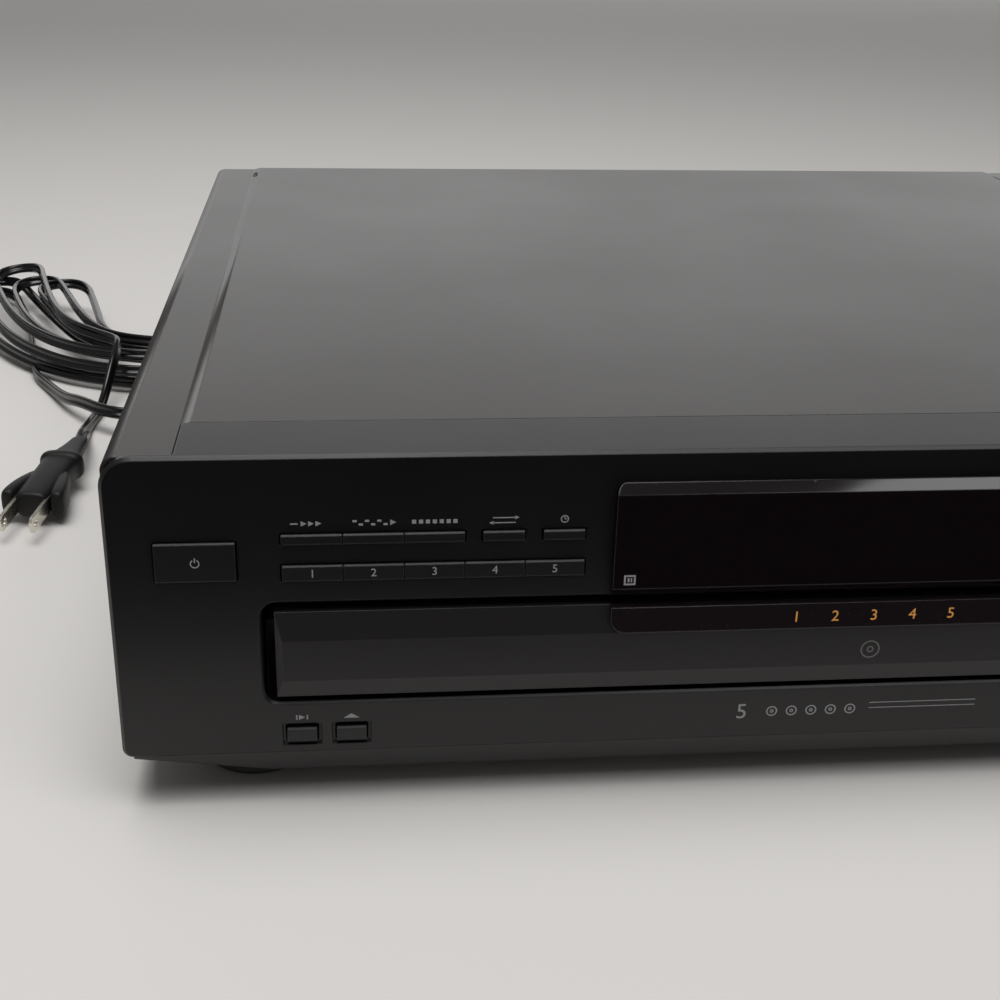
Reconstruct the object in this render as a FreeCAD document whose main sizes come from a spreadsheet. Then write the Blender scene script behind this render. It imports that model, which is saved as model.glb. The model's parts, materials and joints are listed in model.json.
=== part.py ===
"""Five-disc carousel CD changer, in millimetres.

+X is the width, +Y runs from the front to the back, +Z is up. The origin lies on the surface that the feet
stand on, under the middle of the cabinet and of what projects from it.
"""

import FreeCAD, Part
import math
import os

import Sketcher
from FreeCAD import Placement, Rotation, Vector

# Driving dimensions. Places on the front are measured from the middle (x) and from the surface below (z).
SIZES = {
    # cabinet
    "body_width": 430.0,
    "body_height": 110.0,
    "body_depth": 396.0,
    "front_reach": 8.0,
    "rear_reach": 8.0,
    "face_bottom": 16.7,
    "skirt_bottom": 8.6,
    "skirt_taper": 42.0,
    "corner_radius": 9.0,
    "lower_corner": 3.0,
    "plate": 2.5,
    "shelf_depth": 26.3,
    "notch_half": 195.6,
    "return_inset": 1.8,
    "cover_width": 429.0,
    "cover_bend": 4.0,
    "cover_bottom": 13.0,
    "cover_step": 0.7,
    "cover_step_run": 3.0,
    "sheet_wall": 1.0,
    "floor_level": 9.0,
    "seam": 0.3,
    "slit": 0.5,
    "foot_x": 178.5,
    "foot_inset": 31.5,
    "foot_radius": 18.0,
    # display window
    "window_half": 75.8,
    "window_bottom": 66.2,
    "window_top": 100.9,
    "window_reach": 3.0,
    "window_bevel": 2.8,
    "window_rim": 3.6,
    # drawer front and its opening
    "opening_half": 173.8,
    "opening_bottom": 34.0,
    "opening_top": 65.8,
    "opening_corner": 4.0,
    "drawer_half": 170.3,
    "drawer_bottom": 36.3,
    "drawer_top": 63.4,
    "drawer_crease": 2.0,
    "upper_crease": 55.2,
    "lower_crease": 42.4,
    "drawer_rim": 0.5,
    # keys on the left of the face
    "power_x": -190.9,
    "power_z": 79.2,
    "power_width": 22.1,
    "power_height": 11.8,
    "rows_left": -167.7,
    "key_pitch": 16.8,
    "slim_z": 85.5,
    "slim_height": 3.2,
    "pair_x": -106.6,
    "pair_width": 11.8,
    "disc_z": 75.3,
    "disc_height": 5.0,
    "small_x": -163.6,
    "small_pitch": 14.2,
    "small_z": 23.3,
    "small_width": 8.8,
    "small_height": 4.8,
    "small_frame": 1.2,
    # keys, dial, knob and jack on the right of the face
    "play_x": 100.0,
    "play_width": 27.0,
    "play_height": 9.0,
    "play_z": 77.3,
    "stop_width": 17.0,
    "open_x": 149.6,
    "skip_z": 92.6,
    "skip_height": 4.6,
    "dial_x": 187.0,
    "dial_z": 84.0,
    "dial_radius": 14.5,
    "knob_x": 194.5,
    "knob_z": 50.0,
    "knob_radius": 6.5,
    "jack_z": 27.0,
    "jack_bore": 3.3,
    "jack_length": 14.0,
    # keys behind the face
    "key_gap": 0.3,
    "key_proud": 1.0,
    "key_travel": 0.8,
    "key_lip": 1.4,
    "key_lip_wall": 1.2,
    "key_split": 0.25,
    "key_board_depth": 8.5,
    "display_board_depth": 15.0,
    "display_board_half": 77.0,
    "board_wall": 1.6,
    "boss_radius": 1.8,
    # drawer and carousel
    "tray_half": 168.0,
    "tray_front": 8.3,
    "tray_back": 352.0,
    "tray_floor": 37.0,
    "tray_top": 56.0,
    "tray_wall": 2.0,
    "axis_depth": 181.0,
    "tub_radius": 165.5,
    "rear_gap_half": 45.0,
    "rear_gap_front": 208.0,
    "runner_bottom": 44.0,
    "runner_height": 3.0,
    "runner_width": 3.0,
    "drawer_travel": 190.0,
    "carousel_radius": 162.0,
    "carousel_bottom": 42.0,
    "carousel_top": 48.0,
    "well_circle": 104.0,
    "well_radius": 60.75,
    "well_depth": 2.8,
    "small_well_radius": 40.6,
    "small_well_depth": 1.2,
    "pickup_slot": 36.0,
    "slot_inner": 39.0,
    "hub_radius": 10.0,
    "hub_fit": 0.06,
    "ring_module": 2.25,
    "ring_teeth": 140,
    "pinion_teeth": 20,
    "ring_height": 2.0,
    # loading drive
    "rack_module": 1.0,
    "loading_teeth": 24,
    "rack_x": 150.0,
    "loading_y": 34.0,
    "rack_height": 2.5,
    # optical unit and clamp
    "deck_half": 42.0,
    "deck_front": 212.0,
    "deck_back": 303.0,
    "deck_bottom": 26.7,
    "deck_wall": 2.0,
    "lift_travel": 11.0,
    "guide_radius": 2.0,
    "guide_fit": 0.06,
    "guide_x": 37.0,
    "seat_height": 37.0,
    "seat_radius": 14.0,
    "spindle_radius": 7.3,
    "spindle_rise": 2.5,
    "lens_reach": 22.0,
    "sled_travel": 34.0,
    "rail_radius": 1.5,
    "rail_x": 24.0,
    "rail_drop": 4.5,
    "puck_radius": 14.0,
    "puck_bottom": 49.5,
    "bridge_bottom": 57.5,
    "bridge_wall": 1.2,
    # rear panel
    "panel_inset": 1.0,
    "socket_x": 118.0,
    "socket_pitch": 14.0,
    "socket_z": 34.0,
    "socket_radius": 4.15,
    "socket_bore": 1.6,
    "relief_x": -190.0,
    "transformer_offset": 37.5,
    "relief_z": 26.0,
    "relief_length": 18.0,
    # mains cord
    "cord_diameter": 5.4,
    "blade_spacing": 12.7,
    "blade_length": 17.5,
    "blade_width": 6.35,
    "blade_wall": 1.5,
}

document = FreeCAD.newDocument("disc_changer")
sheet = document.addObject("Spreadsheet::Sheet", "Sizes")
nodes = []


class Size:
    """A length that carries both its value and the sheet expression that gives it."""

    def __init__(self, value, text):
        self.value = float(value)
        self.text = text

    def __float__(self):
        return self.value

    def join(self, other, sign, swap=False):
        other = other if isinstance(other, Size) else Size(other, repr(float(other)))
        left, right = (other, self) if swap else (self, other)
        results = {
            "+": left.value + right.value,
            "-": left.value - right.value,
            "*": left.value * right.value,
            "/": left.value / (right.value or 1.0),
        }
        return Size(results[sign], f"({left.text} {sign} {right.text})")

    def __add__(self, other):
        return self.join(other, "+")

    def __radd__(self, other):
        return self.join(other, "+", True)

    def __sub__(self, other):
        return self.join(other, "-")

    def __rsub__(self, other):
        return self.join(other, "-", True)

    def __mul__(self, other):
        return self.join(other, "*")

    def __rmul__(self, other):
        return self.join(other, "*", True)

    def __truediv__(self, other):
        return self.join(other, "/")

    def __neg__(self):
        return self.join(0.0, "-", True)


class Sheet:
    """The driving dimensions, read back by name."""


def fill_sheet():
    sizes = Sheet()
    for row, (name, value) in enumerate(SIZES.items(), start=1):
        sheet.set(f"A{row}", name)
        sheet.set(f"B{row}", str(value))
        sheet.setAlias(f"B{row}", name)
        setattr(sizes, name, Size(value, f"Sizes.{name}"))
    document.recompute()
    return sizes


s = fill_sheet()
FACE = (s.front_reach - s.rear_reach - s.body_depth) / 2
REAR = FACE + s.body_depth - s.panel_inset
AXIS_Y = FACE + s.axis_depth
PLAY_Y = AXIS_Y + s.well_circle
FLOOR = s.floor_level + s.sheet_wall
BEHIND = FACE + s.plate


# ---------------------------------------------------------------- drawing helpers


def bind(thing, name, value):
    """Sets a property, bound to the sheet when the value comes from it."""
    if isinstance(value, Size):
        thing.setExpression(name, value.text)
    elif "." in name:
        base = thing.Placement.Base
        setattr(base, name[-1], float(value))
        thing.Placement = Placement(base, thing.Placement.Rotation)
    else:
        setattr(thing, name, value)


def place(thing, x=0, y=0, z=0):
    for axis, value in zip("xyz", (x, y, z)):
        bind(thing, f"Placement.Base.{axis}", value)
    return thing


def keep(thing, label):
    """Names a finished piece and lists it for export."""
    thing.Label = label
    nodes.append(thing)
    return thing


def new_body(name):
    return document.addObject("PartDesign::Body", name)


def sketch(body, role, at=0):
    """A sketch on one of the body's own planes, moved along the row's axis that the plane faces."""
    plane = [item for item in body.Origin.OriginFeatures if item.Role == role][0]
    drawing = body.newObject("Sketcher::SketchObject", f"{body.Name}_sketch")
    drawing.AttachmentSupport = [(plane, "")]
    drawing.MapMode = "FlatFace"
    offset = -at if role == "XZ_Plane" else at
    if isinstance(offset, Size):
        drawing.setExpression("AttachmentOffset.Base.z", offset.text)
    else:
        drawing.AttachmentOffset = Placement(Vector(0, 0, offset), Rotation())
    drawing.addProperty("App::PropertyString", "Facing")
    drawing.Facing = role
    return drawing


def hold(drawing, kind, *arguments):
    """Adds a constraint whose last argument is a size of the sheet or a plain number."""
    number = drawing.addConstraint(Sketcher.Constraint(kind, *arguments[:-1], float(arguments[-1])))
    if isinstance(arguments[-1], Size):
        drawing.setExpression(f"Constraints[{number}]", arguments[-1].text)


def polygon(drawing, points):
    first = drawing.GeometryCount
    count = len(points)
    corners = [Vector(float(x), float(y), 0) for x, y in points]
    for i in range(count):
        drawing.addGeometry(Part.LineSegment(corners[i], corners[(i + 1) % count]))
    for i in range(count):
        following = first + (i + 1) % count
        drawing.addConstraint(Sketcher.Constraint("Coincident", first + i, 2, following, 1))
    for i, (x, y) in enumerate(points):
        hold(drawing, "DistanceX", -1, 1, first + i, 1, x)
        hold(drawing, "DistanceY", -1, 1, first + i, 1, y)


def rectangle(drawing, left, bottom, right, top):
    polygon(drawing, [(left, bottom), (right, bottom), (right, top), (left, top)])


def centred(drawing, x, y, width, height):
    rectangle(drawing, x - width / 2, y - height / 2, x + width / 2, y + height / 2)


def circle(drawing, x, y, radius):
    number = drawing.addGeometry(Part.Circle(Vector(float(x), float(y), 0), Vector(0, 0, 1), float(radius)))
    hold(drawing, "DistanceX", -1, 1, number, 3, x)
    hold(drawing, "DistanceY", -1, 1, number, 3, y)
    hold(drawing, "Radius", number, radius)


def extrude(body, drawing, length, kind="Pad", forward=True, both=False):
    """Pads or pockets a sketch along the row's axis that it faces, forward meaning towards plus."""
    feature = body.newObject(f"PartDesign::{kind}", f"{body.Name}_{kind.lower()}")
    feature.Profile = drawing
    bind(feature, "Length", length)
    natural = (drawing.Facing != "XZ_Plane") == (kind == "Pad")
    feature.Reversed = natural != forward
    if both:
        feature.SideType = "Symmetric"
    document.recompute()
    return feature


def cut(body, drawing, length, forward=True, both=False):
    return extrude(body, drawing, length, "Pocket", forward, both)


def turn(body, drawing):
    """Revolves a sketch about its own vertical axis."""
    feature = body.newObject("PartDesign::Revolution", f"{body.Name}_turned")
    feature.Profile = drawing
    feature.ReferenceAxis = (drawing, ["V_Axis"])
    feature.Angle = 360
    document.recompute()
    return feature


def chosen_edges(shape, along, places):
    """Names of the straight edges that run along an axis, with their middles at one of the given places."""
    names = []
    for i, edge in enumerate(shape.Edges, start=1):
        if edge.Curve.TypeId != "Part::GeomLine":
            continue
        if abs(edge.Curve.Direction.dot(along)) < 0.999:
            continue
        middle = edge.CenterOfMass
        for wanted in places:
            if all(value is None or abs(middle[k] - float(value)) < 0.02 for k, value in enumerate(wanted)):
                names.append(f"Edge{i}")
                break
    return names


def soften(body, size, along, places, kind="Fillet"):
    """Rounds or bevels edges of the body's last feature."""
    base = body.Tip
    names = chosen_edges(base.Shape, along, places)
    if not names:
        raise ValueError(f"{body.Name} has no edge to soften")
    feature = body.newObject(f"PartDesign::{kind}", f"{body.Name}_{kind.lower()}")
    feature.Base = (base, names)
    bind(feature, "Radius" if kind == "Fillet" else "Size", size)
    document.recompute()
    return feature


ALONG_X, ALONG_Y, ALONG_Z = Vector(1, 0, 0), Vector(0, 1, 0), Vector(0, 0, 1)
TURNS = {
    "Z": Rotation(),
    "Y": Rotation(ALONG_X, -90),
    "X": Rotation(ALONG_Y, 90),
}


def box(left, front, bottom, right, back, top):
    """A block between two corners."""
    block = document.addObject("Part::Box", "block")
    for name, low, high in (("Length", left, right), ("Width", front, back), ("Height", bottom, top)):
        bind(block, name, high - low)
    return place(block, left, front, bottom)


def cylinder(x, y, z, radius, length, axis="Z"):
    """A round bar that starts at a point and runs along plus one axis."""
    bar = document.addObject("Part::Cylinder", "bar")
    bar.Placement = Placement(Vector(), TURNS[axis])
    bind(bar, "Radius", radius)
    bind(bar, "Height", length)
    return place(bar, x, y, z)


def joined(things):
    if len(things) == 1:
        return things[0]
    whole = document.addObject("Part::MultiFuse", "joined")
    whole.Shapes = things
    return whole


def minus(base, *tools):
    rest = document.addObject("Part::Cut", "rest")
    rest.Base = base
    rest.Tool = joined(list(tools))
    return rest


def group(things):
    """Separate solids that share one node."""
    whole = document.addObject("Part::Compound", "group")
    whole.Links = things
    return whole


def solid(shape, name="shape"):
    """A piece whose shape comes from Part's own functions."""
    thing = document.addObject("Part::Feature", name)
    thing.Shape = shape
    return thing


# ---------------------------------------------------------------- gear teeth


def involute_gear(teeth, module, height, heading, addendum=1.0, dedendum=1.25, steps=2, slack=0.12):
    """A spur gear about +Z with one tooth on the heading, in degrees.

    Steps are the straight pieces of a tooth's flank, and slack thins each tooth.
    """
    teeth = int(float(teeth))
    pitch_radius = teeth * module / 2
    pressure = math.radians(20)
    base_radius = pitch_radius * math.cos(pressure)
    tip = pitch_radius + addendum * module
    root = pitch_radius - dedendum * module
    start = max(root, base_radius)

    def roll(radius):
        """Involute function at a radius."""
        angle = math.acos(min(1.0, base_radius / radius))
        return math.tan(angle) - angle

    half_tooth = math.pi / (2 * teeth) - slack / (2 * pitch_radius)
    levels = [start + (tip - start) * k / steps for k in range(steps + 1)]
    flank = [(radius, half_tooth + roll(pitch_radius) - roll(radius)) for radius in levels]
    if start > root:
        flank.insert(0, (root, flank[0][1]))
    points = []
    for k in range(teeth):
        centre = math.radians(heading) + 2 * math.pi * k / teeth
        outline = [(radius, centre - angle) for radius, angle in flank]
        outline += [(radius, centre + angle) for radius, angle in reversed(flank)]
        points += [Vector(radius * math.cos(a), radius * math.sin(a), 0) for radius, a in outline]
    wire = Part.makePolygon(points + points[:1])
    return Part.Face(wire).extrude(Vector(0, 0, height))


def tooth_rack(pitch_line, first, last, centre, module, height, back, slack=0.12):
    """A bar along Y with teeth facing -X; a gap between two teeth lies at the centre."""
    pitch = math.pi * module
    slope = math.tan(math.radians(20))
    low = int(math.ceil((first - centre) / pitch))
    high = int(math.floor((last - centre) / pitch))
    points = [Vector(pitch_line + back, first, 0), Vector(pitch_line + 1.25 * module, first, 0)]
    for k in range(low, high):
        middle = centre + (k + 0.5) * pitch
        half = pitch / 4 - slack / 2
        for side in (-1, 1):
            steps = ((1.25, half + 1.25 * module * slope), (-1.0, half - module * slope))
            for depth, reach in steps if side < 0 else steps[::-1]:
                points.append(Vector(pitch_line + depth * module, middle + side * reach, 0))
    points += [Vector(pitch_line + 1.25 * module, last, 0), Vector(pitch_line + back, last, 0)]
    wire = Part.makePolygon(points + points[:1])
    return Part.Face(wire).extrude(Vector(0, 0, height))


# ---------------------------------------------------------------- keys, as rows of neighbours


def key_rows():
    """Rows of keys that touch.

    Each row is its bottom, its height and its keys' names with their left and right ends.
    """

    def single(name, x, z, width, height):
        return (z - height / 2, height, [(name, x - width / 2, x + width / 2)])

    def run(names, left, pitch, z, height):
        ends = [(name, left + pitch * i, left + pitch * (i + 1)) for i, name in enumerate(names)]
        return (z - height / 2, height, ends)

    slim_keys = ("continue_button", "shuffle_button", "program_button")
    disc_keys = [f"disc_button_{k}" for k in range(1, 6)]
    play_left = s.play_x - s.play_width / 2
    play_right = s.play_x + s.play_width / 2
    transport = [("play_button", play_left, play_right)]
    for i, name in enumerate(("pause_button", "stop_button")):
        transport.append((name, play_right + s.stop_width * i, play_right + s.stop_width * (i + 1)))
    return [
        single("power_button", s.power_x, s.power_z, s.power_width, s.power_height),
        run(slim_keys, s.rows_left, s.key_pitch, s.slim_z, s.slim_height),
        single("repeat_button", s.pair_x, s.slim_z, s.pair_width, s.slim_height),
        single("time_button", s.pair_x + s.key_pitch, s.slim_z, s.pair_width, s.slim_height),
        run(disc_keys, s.rows_left, s.key_pitch, s.disc_z, s.disc_height),
        (s.play_z - s.play_height / 2, s.play_height, transport),
        run(("skip_button", "exchange_button"), play_left, s.key_pitch, s.skip_z, s.skip_height),
        single("open_button", s.open_x, s.skip_z, s.power_width, s.skip_height),
    ]


def small_keys():
    names = ("scan_button", "fade_button")
    return [(name, s.small_x + s.small_pitch * i) for i, name in enumerate(names)]


def key(name, left, right, bottom, height, reach, round_off):
    """A key cap that stands a little out of its opening, with a lip behind the plate that holds it in."""
    body = new_body(name)
    cap = sketch(body, "XZ_Plane", FACE - reach)
    rectangle(cap, left + s.key_split / 2, bottom, right - s.key_split / 2, bottom + height)
    extrude(body, cap, reach + s.plate + s.seam)
    half = (right - left - s.key_split) / 2
    middle = (left + right) / 2
    front = FACE - reach
    rims = [(middle, front, bottom), (middle, front, bottom + height)]
    soften(body, round_off, ALONG_X, rims, "Chamfer")
    lip = sketch(body, "XZ_Plane", BEHIND + s.seam)
    rectangle(lip, middle - half, bottom - s.key_lip, middle + half, bottom + height + s.key_lip)
    extrude(body, lip, s.key_lip_wall)
    return keep(body, name)


def make_keys():
    for bottom, height, ends in key_rows():
        for name, left, right in ends:
            key(name, left, right, bottom, height, s.key_proud, s.key_proud * 0.45)
    for name, x in small_keys():
        left, right = x - s.small_width / 2, x + s.small_width / 2
        key(name, left, right, s.small_z - s.small_height / 2, s.small_height, s.key_proud, s.key_proud * 0.6)


# ---------------------------------------------------------------- cabinet


def boss_places():
    """Posts behind the face that carry the boards: how deep they reach, and where they stand."""
    display_x, left, right = s.window_half - 1, s.rows_left - 6.3, s.play_x - s.play_width / 2 - 3.5
    low, high = s.disc_z - 1, s.slim_z + 1
    key_posts = [(x, z) for x in (left, -s.window_half - 5.6) for z in (low, high)]
    key_posts += [(x, z) for x in (right, s.open_x + 15) for z in (s.play_z, s.skip_z)]
    key_posts.append((s.small_x - s.small_width / 2 - 3, s.small_z))
    key_posts.append((s.small_x + s.small_pitch * 1.5, s.small_z))
    key_posts += [(s.knob_x + 6.5 * side, s.jack_z + 11) for side in (-1, 1)]
    levels = (s.window_bottom + 6, s.window_top - 6)
    display_posts = [(display_x * side, z) for side in (-1, 1) for z in levels]
    return [(s.key_board_depth, key_posts), (s.display_board_depth, display_posts)]


def front_panel():
    body = new_body("front_panel")
    half, top, bottom = s.body_width / 2, s.body_height, s.face_bottom
    face = sketch(body, "XZ_Plane", FACE)
    rectangle(face, -half, bottom, half, top)
    extrude(body, face, s.plate)
    soften(body, s.corner_radius, ALONG_Y, [(-half, None, top), (half, None, top)])
    soften(body, s.lower_corner, ALONG_Y, [(-half, None, bottom), (half, None, bottom)])
    soften(body, s.plate * 0.4, ALONG_X, [(None, FACE, top)], "Chamfer")

    mouth = sketch(body, "XZ_Plane", FACE)
    rectangle(mouth, -s.opening_half, s.opening_bottom, s.opening_half, s.opening_top)
    cut(body, mouth, s.plate * 2)
    ends = (s.opening_bottom, s.opening_top)
    sides = (-s.opening_half, s.opening_half)
    soften(body, s.opening_corner, ALONG_Y, [(side, None, z) for side in sides for z in ends])
    soften(body, s.plate * 0.3, ALONG_X, [(None, FACE, s.opening_top)], "Chamfer")

    shelf = sketch(body, "XZ_Plane", BEHIND)
    rectangle(shelf, s.slit - s.notch_half, top - 2, s.notch_half - s.slit, top)
    extrude(body, shelf, s.shelf_depth - s.plate - s.slit)

    inner = half - s.return_inset
    returns = sketch(body, "XZ_Plane", BEHIND)
    for side in (-1, 1):
        ends = sorted((inner * side, (inner - s.plate * 0.7) * side), key=float)
        rectangle(returns, ends[0], bottom + s.lower_corner, ends[1], top - s.corner_radius)
    extrude(body, returns, s.shelf_depth / 2)

    skirt = sketch(body, "YZ_Plane")
    front, back = FACE + 0.8, FACE + s.shelf_depth * 0.68
    heel, low = FACE + 4.5, s.skirt_bottom
    wall = s.plate * 0.7
    polygon(skirt, [
        (front, bottom + wall), (front, bottom), (heel, low), (back, low), (back, low + wall),
        (heel + wall * 0.7, low + wall), (BEHIND, bottom), (BEHIND, bottom + wall),
    ])
    extrude(body, skirt, (half - s.lower_corner) * 2, both=True)
    taper = sketch(body, "XZ_Plane", FACE)
    for side in (-1, 1):
        polygon(taper, [
            (half * side, bottom - 0.2), ((half - s.skirt_taper) * side, low),
            ((half - s.skirt_taper) * side, low - wall), (half * side, low - wall),
        ])
    cut(body, taper, s.shelf_depth)

    rim = s.plate * 0.6
    tunnel = sketch(body, "XZ_Plane", BEHIND)
    reach = s.opening_half + rim
    rectangle(tunnel, -reach, s.opening_bottom - rim, reach, s.opening_top + rim)
    rectangle(tunnel, -s.opening_half, s.opening_bottom, s.opening_half, s.opening_top)
    extrude(body, tunnel, s.plate * 2)

    holes = sketch(body, "XZ_Plane", FACE)
    inset = s.window_rim - s.seam / 2
    reach = s.window_half - inset
    rectangle(holes, -reach, s.window_bottom + inset, reach, s.window_top - inset)
    gap = s.key_gap
    for low_edge, height, ends in key_rows():
        rectangle(holes, ends[0][1] - gap, low_edge - gap, ends[-1][2] + gap, low_edge + height + gap)
    for name, x in small_keys():
        centred(holes, x, s.small_z, s.small_width + gap * 2, s.small_height + gap * 2)
    circle(holes, s.dial_x, s.dial_z, s.dial_radius * 0.3)
    circle(holes, s.knob_x, s.knob_z, s.knob_radius * 0.55)
    circle(holes, s.knob_x, s.jack_z, s.jack_bore + 1.6)
    cut(body, holes, s.plate * 2)

    for depth, places in boss_places():
        bosses = sketch(body, "XZ_Plane", BEHIND)
        for x, z in places:
            circle(bosses, x, z, s.boss_radius)
        extrude(body, bosses, depth - s.plate)

    dishes = sketch(body, "XZ_Plane", FACE)
    for name, x in small_keys():
        centred(dishes, x, s.small_z, s.small_width + s.small_frame * 2, s.small_height + s.small_frame * 2)
    circle(dishes, s.dial_x, s.dial_z, s.dial_radius + 1)
    cut(body, dishes, s.plate * 0.4)
    return keep(body, "front_panel")


def top_cover():
    body = new_body("top_cover")
    half, wall = s.cover_width / 2, s.sheet_wall
    top, side_top = s.body_height, s.body_height - s.cover_step
    ridge = s.notch_half - s.cover_step_run
    outer = [(half, s.cover_bottom), (half, side_top), (s.notch_half, side_top), (ridge, top)]
    inner = [
        (half - wall, s.cover_bottom), (half - wall, side_top - wall), (s.notch_half, side_top - wall),
        (ridge, top - wall),
    ]
    profile = outer + [(-x, z) for x, z in outer[::-1]] + [(-x, z) for x, z in inner] + inner[::-1]
    shell = sketch(body, "XZ_Plane", BEHIND + s.seam / 2)
    polygon(shell, profile)
    extrude(body, shell, s.body_depth - s.plate - s.seam / 2)
    bends = [(-half, None, side_top), (half, None, side_top)]
    soften(body, s.cover_bend, ALONG_Y, bends)
    folds = [((half - wall) * side, None, side_top - wall) for side in (-1, 1)]
    soften(body, s.cover_bend - wall, ALONG_Y, folds)
    notch = sketch(body, "XY_Plane", s.body_height - s.cover_bend * 2)
    rectangle(notch, -s.notch_half, FACE, s.notch_half, FACE + s.shelf_depth)
    cut(body, notch, s.cover_bend * 3)
    hem = sketch(body, "XZ_Plane", FACE + s.body_depth - wall)
    rectangle(hem, -s.notch_half, side_top - 12, s.notch_half, side_top - wall / 2)
    extrude(body, hem, wall)
    bores = sketch(body, "YZ_Plane")
    for y, z in side_screws():
        circle(bores, y, z, 4.3)
    cut(body, bores, s.cover_width * 1.2, both=True)
    marks = sketch(body, "XY_Plane", top - s.cover_bend)
    for side in (-1, 1):
        circle(marks, (s.notch_half - s.cover_step_run / 2) * side, FACE + s.body_depth - 20, 1.2)
    cut(body, marks, s.cover_bend * 2)
    return keep(body, "top_cover")


def side_screws():
    return [(FACE + s.shelf_depth + 32, s.floor_level + 16), (REAR - 42, s.floor_level + 16)]


def bottom_chassis():
    body = new_body("bottom_chassis")
    half, wall = s.cover_width / 2 - s.sheet_wall - s.seam, s.sheet_wall
    low, high = s.floor_level, s.floor_level + 30
    front = FACE + s.shelf_depth * 0.68 + s.seam
    inner = half - wall
    profile = [(-half, high), (-half, low), (half, low), (half, high)]
    profile += [(inner, high), (inner, low + wall), (-inner, low + wall), (-inner, high)]
    pan = sketch(body, "XZ_Plane", front)
    polygon(pan, profile)
    extrude(body, pan, REAR - wall - s.seam - front)
    slots = sketch(body, "XY_Plane", low - wall)
    for i in range(9):
        for side in (-1, 1):
            centred(slots, s.deck_half * 2.6 * side, AXIS_Y - 70 + i * 9, 34, 3)
    cut(body, slots, wall * 3)
    return keep(body, "bottom_chassis")


def rear_panel():
    body = new_body("rear_panel")
    half, wall = s.cover_width / 2 - s.sheet_wall - s.seam, s.sheet_wall
    top = s.body_height - s.cover_step - s.sheet_wall - s.seam
    plate = sketch(body, "XZ_Plane", REAR - wall)
    rectangle(plate, -half, FLOOR, half, top)
    extrude(body, plate, wall)
    soften(body, s.cover_bend, ALONG_Y, [(-half, None, top), (half, None, top)])
    foot = sketch(body, "XZ_Plane", REAR - wall)
    rectangle(foot, -s.socket_x, FLOOR, half * 0.9, FLOOR + wall)
    extrude(body, foot, 9, forward=False)
    holes = sketch(body, "XZ_Plane", REAR - wall * 12)
    for i in range(2):
        circle(holes, s.socket_x + s.socket_pitch * i, s.socket_z, s.socket_radius + 0.5)
    circle(holes, s.relief_x, s.relief_z, s.cord_diameter)
    cut(body, holes, wall * 14)
    return keep(body, "rear_panel")


def foot_shape(x, y):
    radius, high = float(s.foot_radius), float(s.floor_level)
    points = [
        (0, 0.6), (radius * 0.62, 0.6), (radius * 0.66, 0), (radius * 0.92, 0), (radius, 1.4),
        (radius * 0.94, high * 0.72), (radius * 0.7, high), (0, high),
    ]
    wire = Part.makePolygon([Vector(r, 0, z) for r, z in points + points[:1]])
    turned = Part.Face(wire).revolve(Vector(), ALONG_Z, 360)
    turned.translate(Vector(float(x), float(y), 0))
    return turned


def feet():
    places = [(x, y) for y in (FACE + s.foot_inset, REAR - s.foot_inset) for x in (-s.foot_x, s.foot_x)]
    keep(solid(Part.makeCompound([foot_shape(x, y) for x, y in places])), "feet")


def screw_heads():
    """Cover screws: two on each side, sunk into the cover, and three through the rear hem."""
    inner = s.cover_width / 2 - s.sheet_wall - s.seam
    reach = s.sheet_wall + s.seam + 0.4
    heads = []
    for y, z in side_screws():
        for start in (inner, -inner - reach):
            heads.append(cylinder(start, y, z, 3.9, reach, "X"))
    for i in (-1, 0, 1):
        z = s.body_height - s.cover_step - 7
        heads.append(cylinder(i * 150, REAR + s.sheet_wall, z, 3.6, 2.0, "Y"))
    keep(group(heads), "cover_screws")


def display_window():
    body = new_body("display_window")
    half, low, high = s.window_half, s.window_bottom, s.window_top
    front = FACE - s.window_reach
    outline = sketch(body, "XZ_Plane", front)
    rectangle(outline, -half, low, half, high)
    extrude(body, outline, s.window_reach)
    soften(body, 3.2, ALONG_Y, [(-half, None, high), (half, None, high)])
    bevels = sketch(body, "YZ_Plane")
    polygon(bevels, [(front - 1, high + 1), (front - 1, high - s.window_bevel - 1), (FACE, high)])
    lower = s.window_reach * 1.05
    polygon(bevels, [(front - 1, low - 1), (FACE - 0.5, low), (front, low + lower), (front - 1, low + lower)])
    cut(body, bevels, half * 3, both=True)
    boss = sketch(body, "XZ_Plane", FACE)
    rim = s.window_rim
    rectangle(boss, rim - half, low + rim, half - rim, high - rim)
    extrude(body, boss, s.plate)
    return keep(body, "display_window")


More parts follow.
